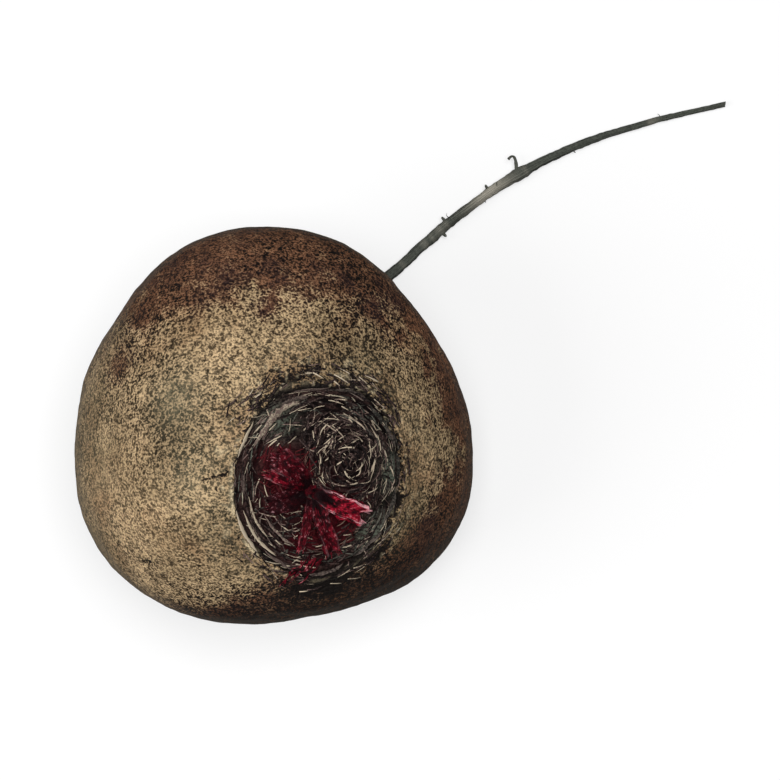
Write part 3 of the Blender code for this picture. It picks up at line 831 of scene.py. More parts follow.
def make_tap_root():
    """Rings of the tap root's radius round its axis, uneven by noise: long wrinkles and short rings."""
    s = np.linspace(BODY_END - 9 * MM, TAP_END, BARK_ROWS)
    phi = np.arange(BARK_COLUMNS) * 2 * math.pi / BARK_COLUMNS
    S, P = np.meshgrid(s, phi, indexing="ij")
    centre, _along, first, second = axis_at(s)
    sway = flat_points(s / (7 * MM))
    centre = centre + first * noise(sway, 1.0, 60)[:, None] * 0.22 * MM
    centre[:, 2] += noise(sway, 1.0, 61) * 0.08 * MM
    out = first[:, None] * np.cos(P)[..., None] + second[:, None] * np.sin(P)[..., None]
    wrinkles = layered(tube_points(S / (5 * MM), P, 2.1), 1.0, 63)
    rings = noise(tube_points(S / (0.7 * MM), P, 0.8), 1.0, 66)
    girth = flat_points(S / (4 * MM))
    rough = 1 + 0.13 * wrinkles + 0.10 * rings + 0.07 * noise(girth, 1.0, 67)
    broken = TAP_END - 0.9 * MM + 0.6 * MM * noise(flat_points(np.cos(P), np.sin(P)), 0.7, 68)
    radius = tap_radius(S) * 0.985 * rough
    points = centre[:, None] + out * radius[..., None]
    points += axis_at(TAP_END)[1] * np.minimum(0, broken - S)[..., None] * 0.9
    points[..., 2] = np.maximum(points[..., 2], 0.05 * MM)
    worn = bump(S, KNOT_AT - 7 * MM, 4.5 * MM) * (0.35 + 0.65 * smoothstep(-0.3, 0.5, np.sin(P)))
    worn += 0.35 * smoothstep(0.1, 0.7, layered(girth * 1.3, 1.0, 70))
    start = smoothstep(BODY_END + 2 * MM, BODY_END - 8 * MM, S)
    flat, quads, fans, grown = closed_rows(points, S, P, np.clip(worn, 0, 1), start)
    values = dict(zip(("along", "around", "worn", "start"), grown))
    return new_piece("tap_root_bark", flat, quads, fans, "skin", BARK, **values)


make_tap_root()

# %% [markdown]
# Many of the remaining details are thin tapering rods: rootlets, old leaf veins, shreds. One function makes
# a whole bundle of them at once, as one mesh. Each has a path of a few points and a cross-section that may
# be flat, like a shred, or round, like a root.

# %% Bundles of rods
TILTED = np.array([0.31, 0.17, 0.94])  # a direction that no rootlet runs along


def bundle(paths, widths, thicknesses, sides, up, roll=0.0):
    """Rings round many paths at once: width across, thickness upwards, turned about the path by roll."""
    along = unit(np.gradient(paths, axis=1))
    side = unit(np.cross(along, up))
    over = np.cross(side, along)
    roll = np.broadcast_to(roll, paths.shape[:1])[:, None, None]
    side, over = side * np.cos(roll) + over * np.sin(roll), over * np.cos(roll) - side * np.sin(roll)
    turn = np.arange(sides) * 2 * math.pi / sides
    ring = side[:, :, None] * (widths[..., None, None] * np.cos(turn)[:, None])
    ring = ring + over[:, :, None] * (thicknesses[..., None, None] * np.sin(turn)[:, None])
    return paths[:, :, None] + ring


def bundle_faces(count, steps, sides):
    """Quads along every rod, and a fan of triangles over each of its two ends."""
    start = np.arange(count)[:, None, None] * steps * sides
    k = np.arange(1, sides - 1)
    near = np.stack([k * 0, k + 1, k], -1)
    far = np.stack([k * 0, k, k + 1], -1) + (steps - 1) * sides
    fans = np.concatenate([near, far])[None] + start
    return (grid_quads(steps, sides)[None] + start).reshape(-1, 4), fans.reshape(-1, 3)


def new_bundle(name, rings, node_slot, material, **values):
    """A piece of many rods: each rod's values are spread over its points, with how far along each is."""
    count, steps, sides = rings.shape[:3]
    spread = {key: np.broadcast_to(v[:, None, None], rings.shape[:3]) for key, v in values.items()}
    spread["along"] = np.broadcast_to(np.linspace(0, 1, steps)[None, :, None], rings.shape[:3])
    return new_piece(name, rings, *bundle_faces(count, steps, sides), node_slot, material, **spread)


print("rods are ready")

# %% [markdown]
# Side rootlets grow square to the tap root and curl. The one at the knot ends in a small knob. Finer ones
# stand round the nub, where the tap root leaves the swollen root, and short ones are dotted along it.

# %% Rootlets
# Distance along the axis, bearing round it, length, radius at the foot, how far it leans forwards at first,
# and which way it curls: 0 is back along the axis, and 90 is round it. In mm and degrees.
ROOTLETS = (
    (121.2, 170, 4.6, 0.42, 0.60, 20),
    (115.2, 168, 1.2, 0.40, 0.00, 90),
    (105.0, 165, 1.3, 0.40, 0.00, -90),
    (103.1, 12, 1.3, 0.40, 0.00, -90),
    (71.0, 40, 5.5, 0.42, 0.00, -90),
    (67.5, 150, 4.5, 0.40, 0.00, 90),
    (69.0, 100, 6.5, 0.42, 0.00, -90),
    (66.5, 65, 5.0, 0.40, 0.00, 90),
)
KNOB_ROOTLET_AT = 121.2  # the one that ends in a knob
NUB_ROOTLETS, SHORT_ROOTLETS = 32, 14


def rootlet_paths(at, bearing, length, lean, swing, steps=12):
    """Out from the axis along a quarter wave, curling to one side, and never below where the root lies."""
    foot, along, first, second = axis_at(at)
    out = first * np.cos(bearing)[:, None] + second * np.sin(bearing)[:, None]
    curl = np.cross(along, out) * np.sin(swing)[:, None] - along * np.cos(swing)[:, None]
    out = (out + along * lean[:, None]) / np.hypot(1, lean)[:, None]
    t = np.linspace(0, 1, steps)[None, :, None]
    sunk = (tap_radius(at) * 0.6)[:, None, None]
    reach = length[:, None, None]
    path = foot[:, None] + out[:, None] * (sunk + reach * np.sin(1.9 * t) * 0.8)
    path = path + curl[:, None] * reach * 0.45 * t**2
    path[..., 2] = np.maximum(path[..., 2], 0.5 * MM)
    return path


def make_side_rootlets():
    """The larger rootlets of the solid, each tapering, a little uneven, and one with a knob."""
    at, bearing, length, foot, lean, swing = (np.array(v, float) for v in zip(*ROOTLETS))
    paths = rootlet_paths(at * MM, np.radians(bearing), length * MM, lean, np.radians(swing))
    t = np.linspace(0, 1, paths.shape[1])
    knob = 0.22 * bump(t, 0.96, 0.05) * (at == KNOB_ROOTLET_AT)[:, None]
    radii = (foot[:, None] * (1 - 0.62 * t) * (1 + 0.1 * np.sin(t * 23 + at[:, None])) + knob) * MM
    rings = bundle(paths, radii, radii, 8, TILTED)
    return new_bundle("side_rootlets", rings, "skin", BARK, around=at, worn=at * 0 + 0.1, start=at * 0)


def make_fine_rootlets():
    """Seeded finer rootlets: long ones round the nub and short ones along the tap root."""
    rng = np.random.default_rng(11)
    count = NUB_ROOTLETS + SHORT_ROOTLETS
    at = np.concatenate([rng.uniform(62, 76, NUB_ROOTLETS), rng.uniform(78, 160, SHORT_ROOTLETS)]) * MM
    length = np.where(at < 77 * MM, rng.uniform(1.5, 6.5, count), rng.uniform(0.5, 1.3, count)) * MM
    swing = rng.uniform(0, 2 * math.pi, count)
    bearing, lean = rng.uniform(0, 2 * math.pi, count), rng.normal(0, 0.4, count)
    paths = rootlet_paths(at, bearing, length, lean, swing)
    t = np.linspace(0, 1, paths.shape[1])
    drift = rng.normal(0, 1, (count, 1, 3)) * t[None, :, None] ** 2
    paths = paths + drift * length[:, None, None] * 0.22
    paths[..., 2] = np.maximum(paths[..., 2], 0.2 * MM)
    radii = rng.uniform(0.10, 0.18, (count, 1)) * (1.1 - t) * MM
    rings = bundle(paths, radii, radii, 6, TILTED)
    around, plain = rng.uniform(0, 6, count), np.zeros(count)
    return new_bundle("fine_rootlets", rings, "skin", BARK, around=around, worn=plain, start=plain)


make_side_rootlets()
make_fine_rootlets()

# %% [markdown]
# On the crown the old leaf bases have dried to a dark, scarred bed. Its scars run in rings round the growing
# point, and a fibrous dome stands to one side of it. The bed is a disc with relief, closed by a plain
# underside, and it stands in for the solid collar.

# %% The dry crown's materials
# Painted shade for the bed's hollows
BED_HOLLOW_SHADE = tint(10, 5, 5)
BED_BROWN = tint(56, 40, 37)
BED_RED = tint(62, 6, 15)
BED_GREEN = tint(90, 96, 84)
VEIN_DARK = tint(12, 7, 8)
VEIN_GREY = tint(108, 88, 82)
VEIN_PALE = tint(240, 224, 192)
VEIN_RED = tint(78, 10, 18)
VEIN_GREEN = tint(98, 103, 92)


def make_bed_material():
    """Painted black shade in the hollows and the bed's brown on the ridges, chosen by the piece's ridge
    value and a speckle, then tints.
    """
    material, tree, shader = new_material("dry_crown_bed", 0.9, 0.08)
    grain = speckle(tree, 2400.0, 0.16)
    mask = grain["Mask"]
    share = scaled(tree, contrast(tree, point_value(tree, "ridge"), 0.3, 0.9), mask)
    # Low places get painted black shade; ridges get the bed's brown
    colour = blend(tree, share, BED_HOLLOW_SHADE, BED_BROWN)
    red = scaled(tree, point_value(tree, "red"), scaled(tree, mask, 0.6, 0.4))
    colour = blend(tree, red, colour, BED_RED)
    colour = blend(tree, scaled(tree, point_value(tree, "green"), mask), colour, BED_GREEN)
    finish_material(tree, shader, colour, grain["Height"], 0.5 * MM, 0.8)
    return material


def make_vein_material():
    """Each strand has its own tone, from black brown through grey to straw, with darker streaks along it."""
    material, tree, shader = new_material("dry_leaf_veins", 0.8, 0.15)
    streak = speckle(tree, 3000.0, 0.2)["Mask"]
    share = scaled(tree, streak, 0.34, scaled(tree, point_value(tree, "tone"), 1.1, -0.12))
    colour = blend(tree, contrast(tree, share, 0.1, 0.75), VEIN_DARK, VEIN_GREY)
    colour = blend(tree, contrast(tree, share, 0.75, 1.25), colour, VEIN_PALE)
    colour = blend(tree, point_value(tree, "red"), colour, VEIN_RED)
    colour = blend(tree, scaled(tree, point_value(tree, "green"), streak), colour, VEIN_GREEN)
    finish_material(tree, shader, colour)
    return material


BED = make_bed_material()
VEIN = make_vein_material()
print("made", BED.name, "and", VEIN.name)

# %% The crown's bed
BED_ROWS, BED_COLUMNS = 110, 240
# Places on the crown, and how wide each is, in mm
RED_PLACES = (
    (-8.0, 4.4, 3.0), (-7.5, -2.0, 3.4), (-2.7, -1.2, 3.2),
    (5.0, -6.0, 3.6), (0.5, -9.0, 3.6), (-4.4, -10.5, 2.6),
)
GREEN_PLACES = ((13.5, 0, 3.0), (9.5, -10.5, 3.2), (-8, 11, 3))


def places(x, y, table):
    """Bells added up, one at each place of a table."""
    return sum(bump(np.hypot(x / MM - a, y / MM - b), 0, width) for a, b, width in table)


def collar_top(x, y):
    """Height over the plain oval: leaf-scar rings that rise to the middle, and a rounded dome."""
    phi = np.arctan2(y, x)
    share = np.hypot(x, y) / rim_radius(phi)
    rise = -1.2 * MM + 1.6 * MM * smoothstep(COLLAR_EDGE, 0.45, share)
    wander = 0.35 * np.sin(3 * phi + 0.7) + 0.25 * np.sin(5 * phi + 2.0)
    scars = 0.38 * MM * np.cos(2 * math.pi * 4 * share / COLLAR_EDGE + wander)
    off = np.hypot(x - DOME_CENTRE[0], y - DOME_CENTRE[1]) / DOME_RADIUS
    return rise + scars + DOME_HEIGHT * np.clip(1 - off**2, 0.0, None)


def bed_height(x, y):
    """The collar's height with fine rings round the dome and round the rim, and rough noise, on top of it.
    Its edge rises to meet the skin's rim, except where a moat is left on one side."""
    flat = flat_points(x, y)
    off = np.hypot(x - DOME_CENTRE[0], y - DOME_CENTRE[1])
    rings = np.cos(off / (0.78 * MM) * 2 * math.pi / 1.35 + 2.2 * noise(flat, 3.5 * MM, 80))
    bearing = np.arctan2(y, x)
    share = np.hypot(x, y) / rim_radius(bearing)
    moat = smoothstep(0.55, 0.95, np.cos(bearing - math.radians(18)))
    brim = 0.85 * MM * smoothstep(0.84, 1.0, share) * (1 - 1.2 * moat)
    edge = np.cos(share * 62 + 4.5 * noise(flat, 2.8 * MM, 82)) * smoothstep(0.5, 0.75, share)
    on_dome = smoothstep(1.25, 0.9, off / DOME_RADIUS)
    fine = 0.20 * MM * rings * on_dome + 0.17 * MM * edge * (1 - on_dome)
    return collar_top(x, y) + brim + fine + 0.17 * MM * layered(flat, 1.1 * MM, 84)


def make_bed():
    """A disc of rings from the edge to the middle, over a plain underside of a few rings."""
    phi = np.arange(BED_COLUMNS) * 2 * math.pi / BED_COLUMNS
    edge = 0.995 * rim_radius(phi)
    shares = np.linspace(0.02, 1.0, BED_ROWS)[::-1]
    x, y = (shares[:, None] * edge * f(phi) for f in (np.cos, np.sin))
    sink = 0.5 * MM * smoothstep(0.96, 1.0, shares)[:, None]
    height = np.maximum(bed_height(x, y) - sink, COLLAR_FLOOR + 0.1 * MM)
    under_shares = np.array([0.02, 0.35, 0.7, 0.97])
    ux, uy = (under_shares[:, None] * edge * f(phi) for f in (np.cos, np.sin))
    points = np.concatenate([crown_point(ux, uy, COLLAR_FLOOR), crown_point(x, y, height)])
    ridge = (height - collar_top(x, y)) / (0.35 * MM) * 0.5 + 0.5
    values = (ridge, places(x, y, RED_PLACES), places(x, y, GREEN_PLACES))
    padded = [np.concatenate([np.zeros_like(ux), np.clip(v, 0, 1)]) for v in values]
    flat, quads, fans, grown = closed_rows(points, *padded)
    named = dict(zip(("ridge", "red", "green"), grown))
    bed = new_piece("dry_crown_bed", flat, quads, fans, "dry_fibre", BED, **named)
    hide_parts("crown_collar")


make_bed()

# %% [markdown]
# What is left of the leaves' veins lies on the bed as over a thousand shreds. On the dome they follow
# circles round its middle, and near the rim they follow the rim. Each is a short arc that rises out of the
# bed at one end. Their bearings, lengths and tones are drawn at random from a fixed seed.

# %% Old leaf veins
# Sets of arcs: how many; the centre that they go round, their least and greatest radius, how far they
# sweep, how high they stand and how far they drift, in mm; the middle of their bearings and the spread
VEIN_SETS = (
    (470, 3.9, 3.7, 0.4, 8.4, 3.2, 0.6, 0.85, 0, 180),  # on the dome
    (380, 0.0, 0.0, 10.5, 16.0, 4.2, 0.5, 0.5, 0, 180),  # inside the rim
    (150, -0.3, 1.5, 15.4, 18.6, 3.0, 0.30, 0.60, 86, 62),  # outside it, above
    (70, 0.3, -0.6, 15.8, 18.4, 3.0, 0.30, 0.60, -88, 55),  # outside it, below
    (220, 0.6, 1.0, 4.0, 14.5, 2.2, 1.1, 1.3, 0, 180),  # loose ones that stand up
    (80, -5.5, -6.0, 1.6, 4.6, 2.4, 0.9, 0.9, 0, 180),  # in the hollow at the lower left
    (260, 0.3, 0.6, 8.5, 17.0, 0.9, 0.5, 0.6, 0, 180),  # short flecks
)
DARK_VEINS = 0.62  # the share of them that is dark


def ground(x, y):
    """Height of what lies on top over the crown: the bed inside the rim, and the skin outside it."""
    rho, bearing = np.hypot(x, y), np.arctan2(y, x)
    outside = smoothstep(0.95, 1.0, rho / rim_radius(bearing))
    return bed_height(x, y) * (1 - outside) + dish(rho, bearing) * outside


def vein_arcs(rng, count, *sizes):
    """Arcs round a centre: radii evenly spread over the area, a random sweep and drift, raised in the middle
    or at one end by a power of a random number, so that most lie low."""
    middle, spread = sizes[7:]
    centre_x, centre_y, low, high, turn, stand, slant = (size * MM for size in sizes[:7])
    t = np.linspace(0, 1, 7)[None]
    radius = np.sqrt(rng.uniform(low**2, high**2, count))[:, None]
    centre = np.array([centre_x, centre_y]) + rng.normal(0, slant * 1.3, (count, 2))
    length = rng.uniform(0.4, 1.0, (count, 1)) * turn * rng.choice([-1, 1], (count, 1))
    bearing = np.radians(middle + spread * rng.uniform(-1, 1, (count, 1))) + length / radius * t
    drift = rng.normal(0, slant, (count, 1)) * t
    x = centre[:, :1] + (radius + drift) * np.cos(bearing)
    y = centre[:, 1:] + (radius + drift) * np.sin(bearing)
    lift = rng.uniform(0.1, 1.0, (count, 1)) ** 3 * stand
    height = ground(x, y) - 0.05 * MM + lift * np.sin(t * rng.uniform(1.6, 3.0, (count, 1)))
    return crown_point(x, y, height), x, y


def make_veins():
    """All the sets as one piece. Strands near the stalks are mostly red, and some at the rim are green."""
    rng = np.random.default_rng(23)
    paths, x, y = (np.concatenate(v) for v in zip(*[vein_arcs(rng, *sizes) for sizes in VEIN_SETS]))
    count, steps = x.shape
    t = np.linspace(0, 1, steps)
    dark = rng.random(count) < DARK_VEINS
    tone = np.where(dark, rng.uniform(0.0, 0.3, count), rng.uniform(0.5, 1.1, count))
    width = (rng.uniform(0.08, 0.21, count) - 0.06 * (tone > 0.35))[:, None] * (1.05 - t**2 * 0.8) * MM
    rings = bundle(paths, width, width * rng.uniform(0.5, 0.9, (count, 1)), 5, CROWN_UP)
    x, y = x[:, 3] / MM, y[:, 3] / MM
    by_stalks = (np.hypot(x + 7.0, y - 2.5) < 4.6) | (np.hypot(x - 1.5, y + 8.0) < 5.0)
    red = np.where(by_stalks & (rng.random(count) < 0.85), rng.uniform(0.6, 1.0, count), 0.0)
    off = np.hypot(x, y)
    at_rim = (off > 11.5) & (off < 16)
    green = np.where(at_rim & (rng.random(count) < 0.32), rng.uniform(0.3, 0.9, count), 0.0)
    return new_bundle("old_leaf_veins", rings, "dry_fibre", VEIN, tone=tone, red=red, green=green)


make_veins()

# %% [markdown]
# Thin scales are left where leaf bases peeled: a greyish strip on the upper left, bright torn lips along the
# left of the rim, and dark crescents inside them. They are flat bundles whose paths follow the rim, each
# rolled up on edge.

# %% Scales and torn lips
# Bearing of the start and of the end, share of the rim, half width and lift in mm, roll in degrees, tone
SCALES = (
    (104, 150, 0.86, 0.72, 0.65, 18, 0.74),
    (96, 116, 0.90, 0.55, 0.40, 30, 0.35),
    (137, 161, 1.010, 0.38, 0.60, 32, 1.40),
    (170, 186, 0.90, 0.50, 0.40, 35, 0.40),
    (194, 224, 1.020, 0.44, 0.65, 32, 1.40),
    (196, 236, 0.93, 0.36, 0.50, 40, 1.15),
    (188, 224, 0.84, 0.34, 0.50, 42, 0.85),
    (206, 244, 0.74, 0.34, 0.55, 40, 0.70),
    (228, 252, 0.96, 0.40, 0.40, 48, 0.45),
    (-38, -12, 0.93, 0.42, 0.45, 40, 0.18),
    (-10, 12, 0.96, 0.40, 0.50, 42, 0.12),
    (16, 34, 0.94, 0.42, 0.55, 40, 0.22),
    (36, 52, 0.91, 0.42, 0.55, 40, 0.12),
    (50, 84, 0.96, 0.40, 0.45, 45, 0.22),
    (-66, -42, 0.96, 0.40, 0.40, 42, 0.25),
    (-98, -74, 0.97, 0.40, 0.40, 46, 0.30),
    (80, 108, 0.97, 0.40, 0.45, 50, 0.40),
)
SCALE_THICKNESS = 0.11 * MM  # half of it


def make_scales():
    """Each scale is an arc at a share of the rim, widest in its middle, rolled so that its edge stands up."""
    start, end, share, half, lift, roll, tone = (np.array(v, float)[:, None] for v in zip(*SCALES))
    t = np.linspace(0, 1, 22)[None]
    bearing = np.radians(start + (end - start) * t)
    wobble = noise(flat_points(t * 5 + start, share * 9), 1.0, 90)
    rho = share * rim_radius(bearing) * (1 + 0.012 * wobble)
    x, y = rho * np.cos(bearing), rho * np.sin(bearing)
    below = np.where(share > 0.98, dish(rho, bearing), bed_height(x, y))
    ends = np.clip(np.sin(t * math.pi), 0.04, 1) ** 0.55
    paths = crown_point(x, y, below + lift * MM * ends * (1 + 0.3 * wobble))
    ragged = 1 + 0.7 * noise(flat_points(t * 22 + start, share), 1.0, 91)
    width = half * MM * ends * ragged
    thickness = np.broadcast_to(SCALE_THICKNESS * ends, width.shape)
    rings = bundle(paths, width, thickness, 10, CROWN_UP, np.radians(roll[:, 0]))
    tone = tone[:, 0]
    green = np.where(tone < 0.8, 0.25, 0.05)
    return new_bundle("leaf_base_scales", rings, "dry_fibre", VEIN, tone=tone, red=tone * 0, green=green)


make_scales()

# %% [markdown]
# The broken leaf stalks are what catches the eye: crimson, ribbed, with a channel along the upper side, as a
# beet's leaf stalk has, and torn across at the end. Each is a ring with a channel in it, carried along a
# path that rises out of the growing point. The last rings are shifted by noise, so that the end is ragged
# and not sawn.

# %% The stalks' material
CRIMSON_DEEP = tint(30, 2, 6)
CRIMSON = tint(164, 18, 44)
CRIMSON_BLACK = tint(20, 3, 6)
# Pale pink of the stalks' edges, and painted highlight
PALE_PINK_AND_HIGHLIGHT = tint(244, 184, 190)


def make_crimson():
    """Deep red to crimson by streaks and flecks, dried black in blotches, pale pink on the ribs, partly
    painted highlight, painted glints in flecks, and black where dried and where shade is painted.
    """
    material, tree, shader = new_material("stalk_flesh", 0.55, 0.10)
    outputs = streaks(tree, 2.2, 5.0)
    streak, vivid = outputs["Mask"], point_value(tree, "vivid")
    fleck = speckle(tree, 1250.0, 0.10)["Mask"]
    streaked = scaled(tree, scaled(tree, streak, 0.72, 0.28), scaled(tree, fleck, 0.94, 0.06))
    share = scaled(tree, scaled(tree, streaked, vivid), 1.9)
    colour = blend(tree, share, CRIMSON_DEEP, CRIMSON)
    dried = scaled(tree, patches(tree, 620.0, 0.46, 0.62, 2.0), scaled(tree, vivid, -0.55, 0.85))
    colour = blend(tree, dried, colour, CRIMSON_BLACK)
    # Pink on the ribs and at the torn end: pale edges, partly painted highlight
    rib = scaled(tree, contrast(tree, point_value(tree, "rib"), 0.3, 0.9), scaled(tree, vivid, vivid))
    # Painted glints: sparse pale flecks
    painted_glint = scaled(tree, contrast(tree, scaled(tree, fleck, streak), 0.62, 1.0), 0.24)
    pink = scaled(tree, rib, scaled(tree, streak, 0.7, 0.3), painted_glint)
    colour = blend(tree, pink, colour, PALE_PINK_AND_HIGHLIGHT)
    # Black where dried, and painted shade at the foot, in the channel and in the torn end's mouth
    colour = blend(tree, contrast(tree, point_value(tree, "dry"), 0.3, 1.0), colour, CRIMSON_BLACK)
    shader.inputs["Subsurface Weight"].default_value = 0.05
    shader.inputs["Subsurface Radius"].default_value = (0.8 * MM, 0.2 * MM, 0.2 * MM)
    finish_material(tree, shader, colour, outputs["Height"], 0.5 * MM, 0.9)
    return material


STALK_FLESH = make_crimson()
print("made", STALK_FLESH.name)

# %% The broken stalks
# Bearing, reach, end's height over the crown, breadth, thickness, in degrees and mm; then how vivid, and how
# deep its channel is
STALKS = (
    (-31, 8.8, 3.2, 3.7, 2.4, 0.96, 0.95),
    (-73, 10.6, 2.4, 3.0, 1.8, 0.34, 0.80),
    (-104, 8.8, 2.0, 1.5, 1.2, 0.36, 0.20),
    (133, 8.6, 2.8, 4.2, 2.2, 0.20, 0.55),
    (154, 8.2, 3.0, 1.9, 1.3, 0.44, 0.25),
    (-167, 7.0, 2.2, 3.6, 1.5, 0.07, 0.80),
)
STALK_ROWS, STALK_COLUMNS = 70, 56
STALK_START = 1.0 * MM


def from_core(turn, out, aside):
    """Places on the crown: out from the growing point at an angle, and aside of that line."""
    x = CORE_CENTRE[0] + out * math.cos(turn) - aside * math.sin(turn)
    return x, CORE_CENTRE[1] + out * math.sin(turn) + aside * math.cos(turn)


def stalk_path(index, bearing, reach, stand):
    """Out of the growing point, swaying a little, and up along a quarter of a wave."""
    t = np.linspace(0, 1, STALK_ROWS)
    out = reach * MM * t**1.25 + STALK_START
    sway = noise(flat_points(t * 2.5), 1.0, 100 + index) * 0.5 * MM * t
    start = -DISH_DEPTH + 2.2 * MM
    height = start + (stand * MM - start) * np.sin(t * math.pi / 2) ** 0.8
    return crown_point(*from_core(math.radians(bearing), out, sway), height)


def stalk_values(T, A, pressed, extra):
    """Rib, pink at the two edges of the channel and at the end, partly painted highlight, and dry:
    dried tissue with painted shade near the foot, in the channel and in the end's mouth.
    """
    edges = bump(A, math.radians(30), 0.24) + bump(A, math.radians(150), 0.24)
    rib = np.clip(edges + 0.5 * smoothstep(0.93, 1.0, T), 0, 1)
    base = smoothstep(0.55, 0.15, T + 0.10 * layered(tube_points(T * 6, A, 3), 1.0, 140))
    inner = np.ones((1, A.shape[1]))
    rib = np.concatenate([rib, *[inner * k for k in extra["rib"]]])
    # Painted shade near the foot and in the channel
    dry = np.concatenate([0.85 * base + 0.7 * pressed, *[inner * k for k in extra["dry"]]])
    return rib, np.clip(dry, 0, 1)


def stalk_surface(index, bearing, reach, stand, breadth, thick, vivid, channel):
    """A ring of breadth by thickness with a bell-shaped channel pressed into its top and ribs round it."""
    path = stalk_path(index, bearing, reach, stand)
    along = unit(np.gradient(path, axis=0))
    side = unit(np.cross(along, CROWN_UP))
    over = np.cross(side, along)
    t, a = np.linspace(0, 1, STALK_ROWS), np.arange(STALK_COLUMNS) * 2 * math.pi / STALK_COLUMNS
    T, A = np.meshgrid(t, a, indexing="ij")
    swell = np.interp(t, [0, 0.2, 0.4, 0.6, 0.85, 1.0], [0.62, 0.8, 0.95, 1.0, 1.0, 0.94])[:, None]
    rough = np.stack([T * reach * 0.9, np.cos(A) * breadth * 0.8, np.sin(A) * thick * 0.8], -1)
    ribs = 1 + 0.05 * np.cos(A * 9 + index) + 0.16 * layered(rough, 1.0, 110 + index)
    wide = breadth / 2 * MM * swell * np.cos(A) * ribs
    top = np.clip(np.sin(A), 0, None)
    pressed = channel * bump(np.cos(A), 0.0, 0.52) * smoothstep(0.02, 0.3, T) * top
    tall = thick / 2 * MM * swell * (np.sin(A) * ribs - 1.35 * pressed)
    torn = noise(np.stack([np.cos(A) * 1.8, np.sin(A) * 1.8, A * 0 + index], -1), 1.0, 120 + index)
    shift = smoothstep(0.72, 1.0, T) * (1.3 * torn - 0.2) * MM * min(1.0, breadth / 3)
    points = path[:, None] + side[:, None] * wide[..., None] + over[:, None] * tall[..., None]
    points = points + along[:, None] * shift[..., None]
    mouth = points[-1:].mean(axis=1, keepdims=True) - along[-1] * 0.7 * MM
    points = np.concatenate([points, *[points[-1:] * (1 - k) + mouth * k for k in (0.12, 0.45, 0.8)]])
    rib, dry = stalk_values(T, A, pressed, {"rib": (0.9, 0.3, 0.0), "dry": (0.1, 0.5, 0.8)})
    rows = len(points)
    length = np.repeat(np.linspace(0, 1, rows)[:, None] * reach, STALK_COLUMNS, axis=1)
    return points, (length, np.repeat(a[None], rows, axis=0), rib, np.full_like(rib, vivid), dry)


def growing_point():
    """A low cushion of folded young tissue: a dome of rings with petal-like folds."""
    phi = np.arange(96) * 2 * math.pi / 96
    F, P = np.meshgrid(np.linspace(1.0, 0.03, 40), phi, indexing="ij")
    folds = 1 + 0.10 * np.cos(5 * P + 6 * F) + 0.05 * np.cos(9 * P - 4 * F)
    x = CORE_CENTRE[0] + CORE_RADIUS * 0.86 * F * folds * np.cos(P)
    y = CORE_CENTRE[1] + CORE_RADIUS * 0.86 * F * folds * np.sin(P)
    rough = layered(flat_points(x, y), 1.2 * MM, 130)
    height = COLLAR_FLOOR + (1 - F**2.2) * 3.0 * MM + 0.22 * MM * np.cos(F * 22 + 2 * P) + 0.2 * MM * rough
    values = (F * 4, P, np.full_like(F, 0.1), np.full_like(F, 0.35), 0.55 + 0.4 * rough)
    return crown_point(x, y, np.maximum(height, COLLAR_FLOOR)), values


def join(surfaces):
    """Puts several closed grids into one set of points, quads, fans and values."""
    made = [closed_rows(grid, *values) for grid, values in surfaces]
    starts = np.cumsum([0] + [len(flat) for flat, *_rest in made])
    quads = np.concatenate([q + start for (_f, q, _t, _v), start in zip(made, starts)])
    fans = np.concatenate([t + start for (_f, _q, t, _v), start in zip(made, starts)])
    values = [np.concatenate(v) for v in zip(*[grown for *_rest, grown in made])]
    return np.concatenate([flat for flat, *_rest in made]), quads, fans, values


surfaces = [growing_point()] + [stalk_surface(k, *sizes) for k, sizes in enumerate(STALKS)]
flat, quads, fans, grown = join(surfaces)
named = dict(zip(("along", "around", "rib", "vivid", "dry"), grown))
stubs = new_piece("broken_leaf_stalks", flat, quads, fans, "crimson_stalk", STALK_FLESH, **named)
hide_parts("leaf_stalk_stubs")

# %% [markdown]
# Torn stalks fray. Short threads stand out of each broken end, others lie along the stubs, and a few red
# shreds hang over the rim at the lower left, where a stalk was torn off downwards. All are one bundle.

# %% Frayed ends
END_THREADS, LYING_THREADS, SHREDS = 9, 16, 20
SHREDS_FROM, SHREDS_TO = np.array([290.5, 349.5]), np.array([280.5, 361.0])  # pixels of the photograph
THREAD_STEPS = 6


def end_threads(rng):
    """Threads from each broken end, spread over its breadth and splayed a little."""
    paths, vivid = [], []
    t = np.linspace(-0.25, 1, THREAD_STEPS)
    for bearing, reach, stand, breadth, thick, bright, _channel in STALKS:
        for _k in range(END_THREADS):
            aside = rng.uniform(-0.42, 0.42) * breadth * MM
            out = (reach + 1.0) * MM + t * rng.uniform(0.5, 1.5) * MM
            x, y = from_core(math.radians(bearing), out, aside * (1 + 0.3 * t))
            lift = stand * MM + rng.uniform(-0.3, 0.3) * thick * MM + t * rng.uniform(-0.7, 0.4) * MM
            paths.append(crown_point(x, y, lift))
            vivid.append(bright)
    return np.array(paths), np.array(vivid)


def lying_threads(rng):
    """Threads on the stubs' upper sides: each follows a column of the stub's own grid and wanders."""
    paths, vivid = [], []
    one, t = (LYING_THREADS, 1), np.linspace(0, 1, THREAD_STEPS)
    for (grid, _values), sizes in zip(surfaces[1:], STALKS):
        row = rng.integers(16, 44, one) + t * rng.integers(10, 26, one)
        column = rng.integers(4, 25, one) + t * rng.normal(0, 1.6, one)
        row = np.clip(row, 0, STALK_ROWS - 1).round().astype(int)
        on = grid[row, column.round().astype(int) % STALK_COLUMNS]
        paths.append(on + CROWN_UP * rng.uniform(0.0, 0.12, (*one, 1)) * MM)
        vivid.append(sizes[5] * rng.choice([0.1, 0.5, 1.0], LYING_THREADS))
    return np.concatenate(paths), np.concatenate(vivid)


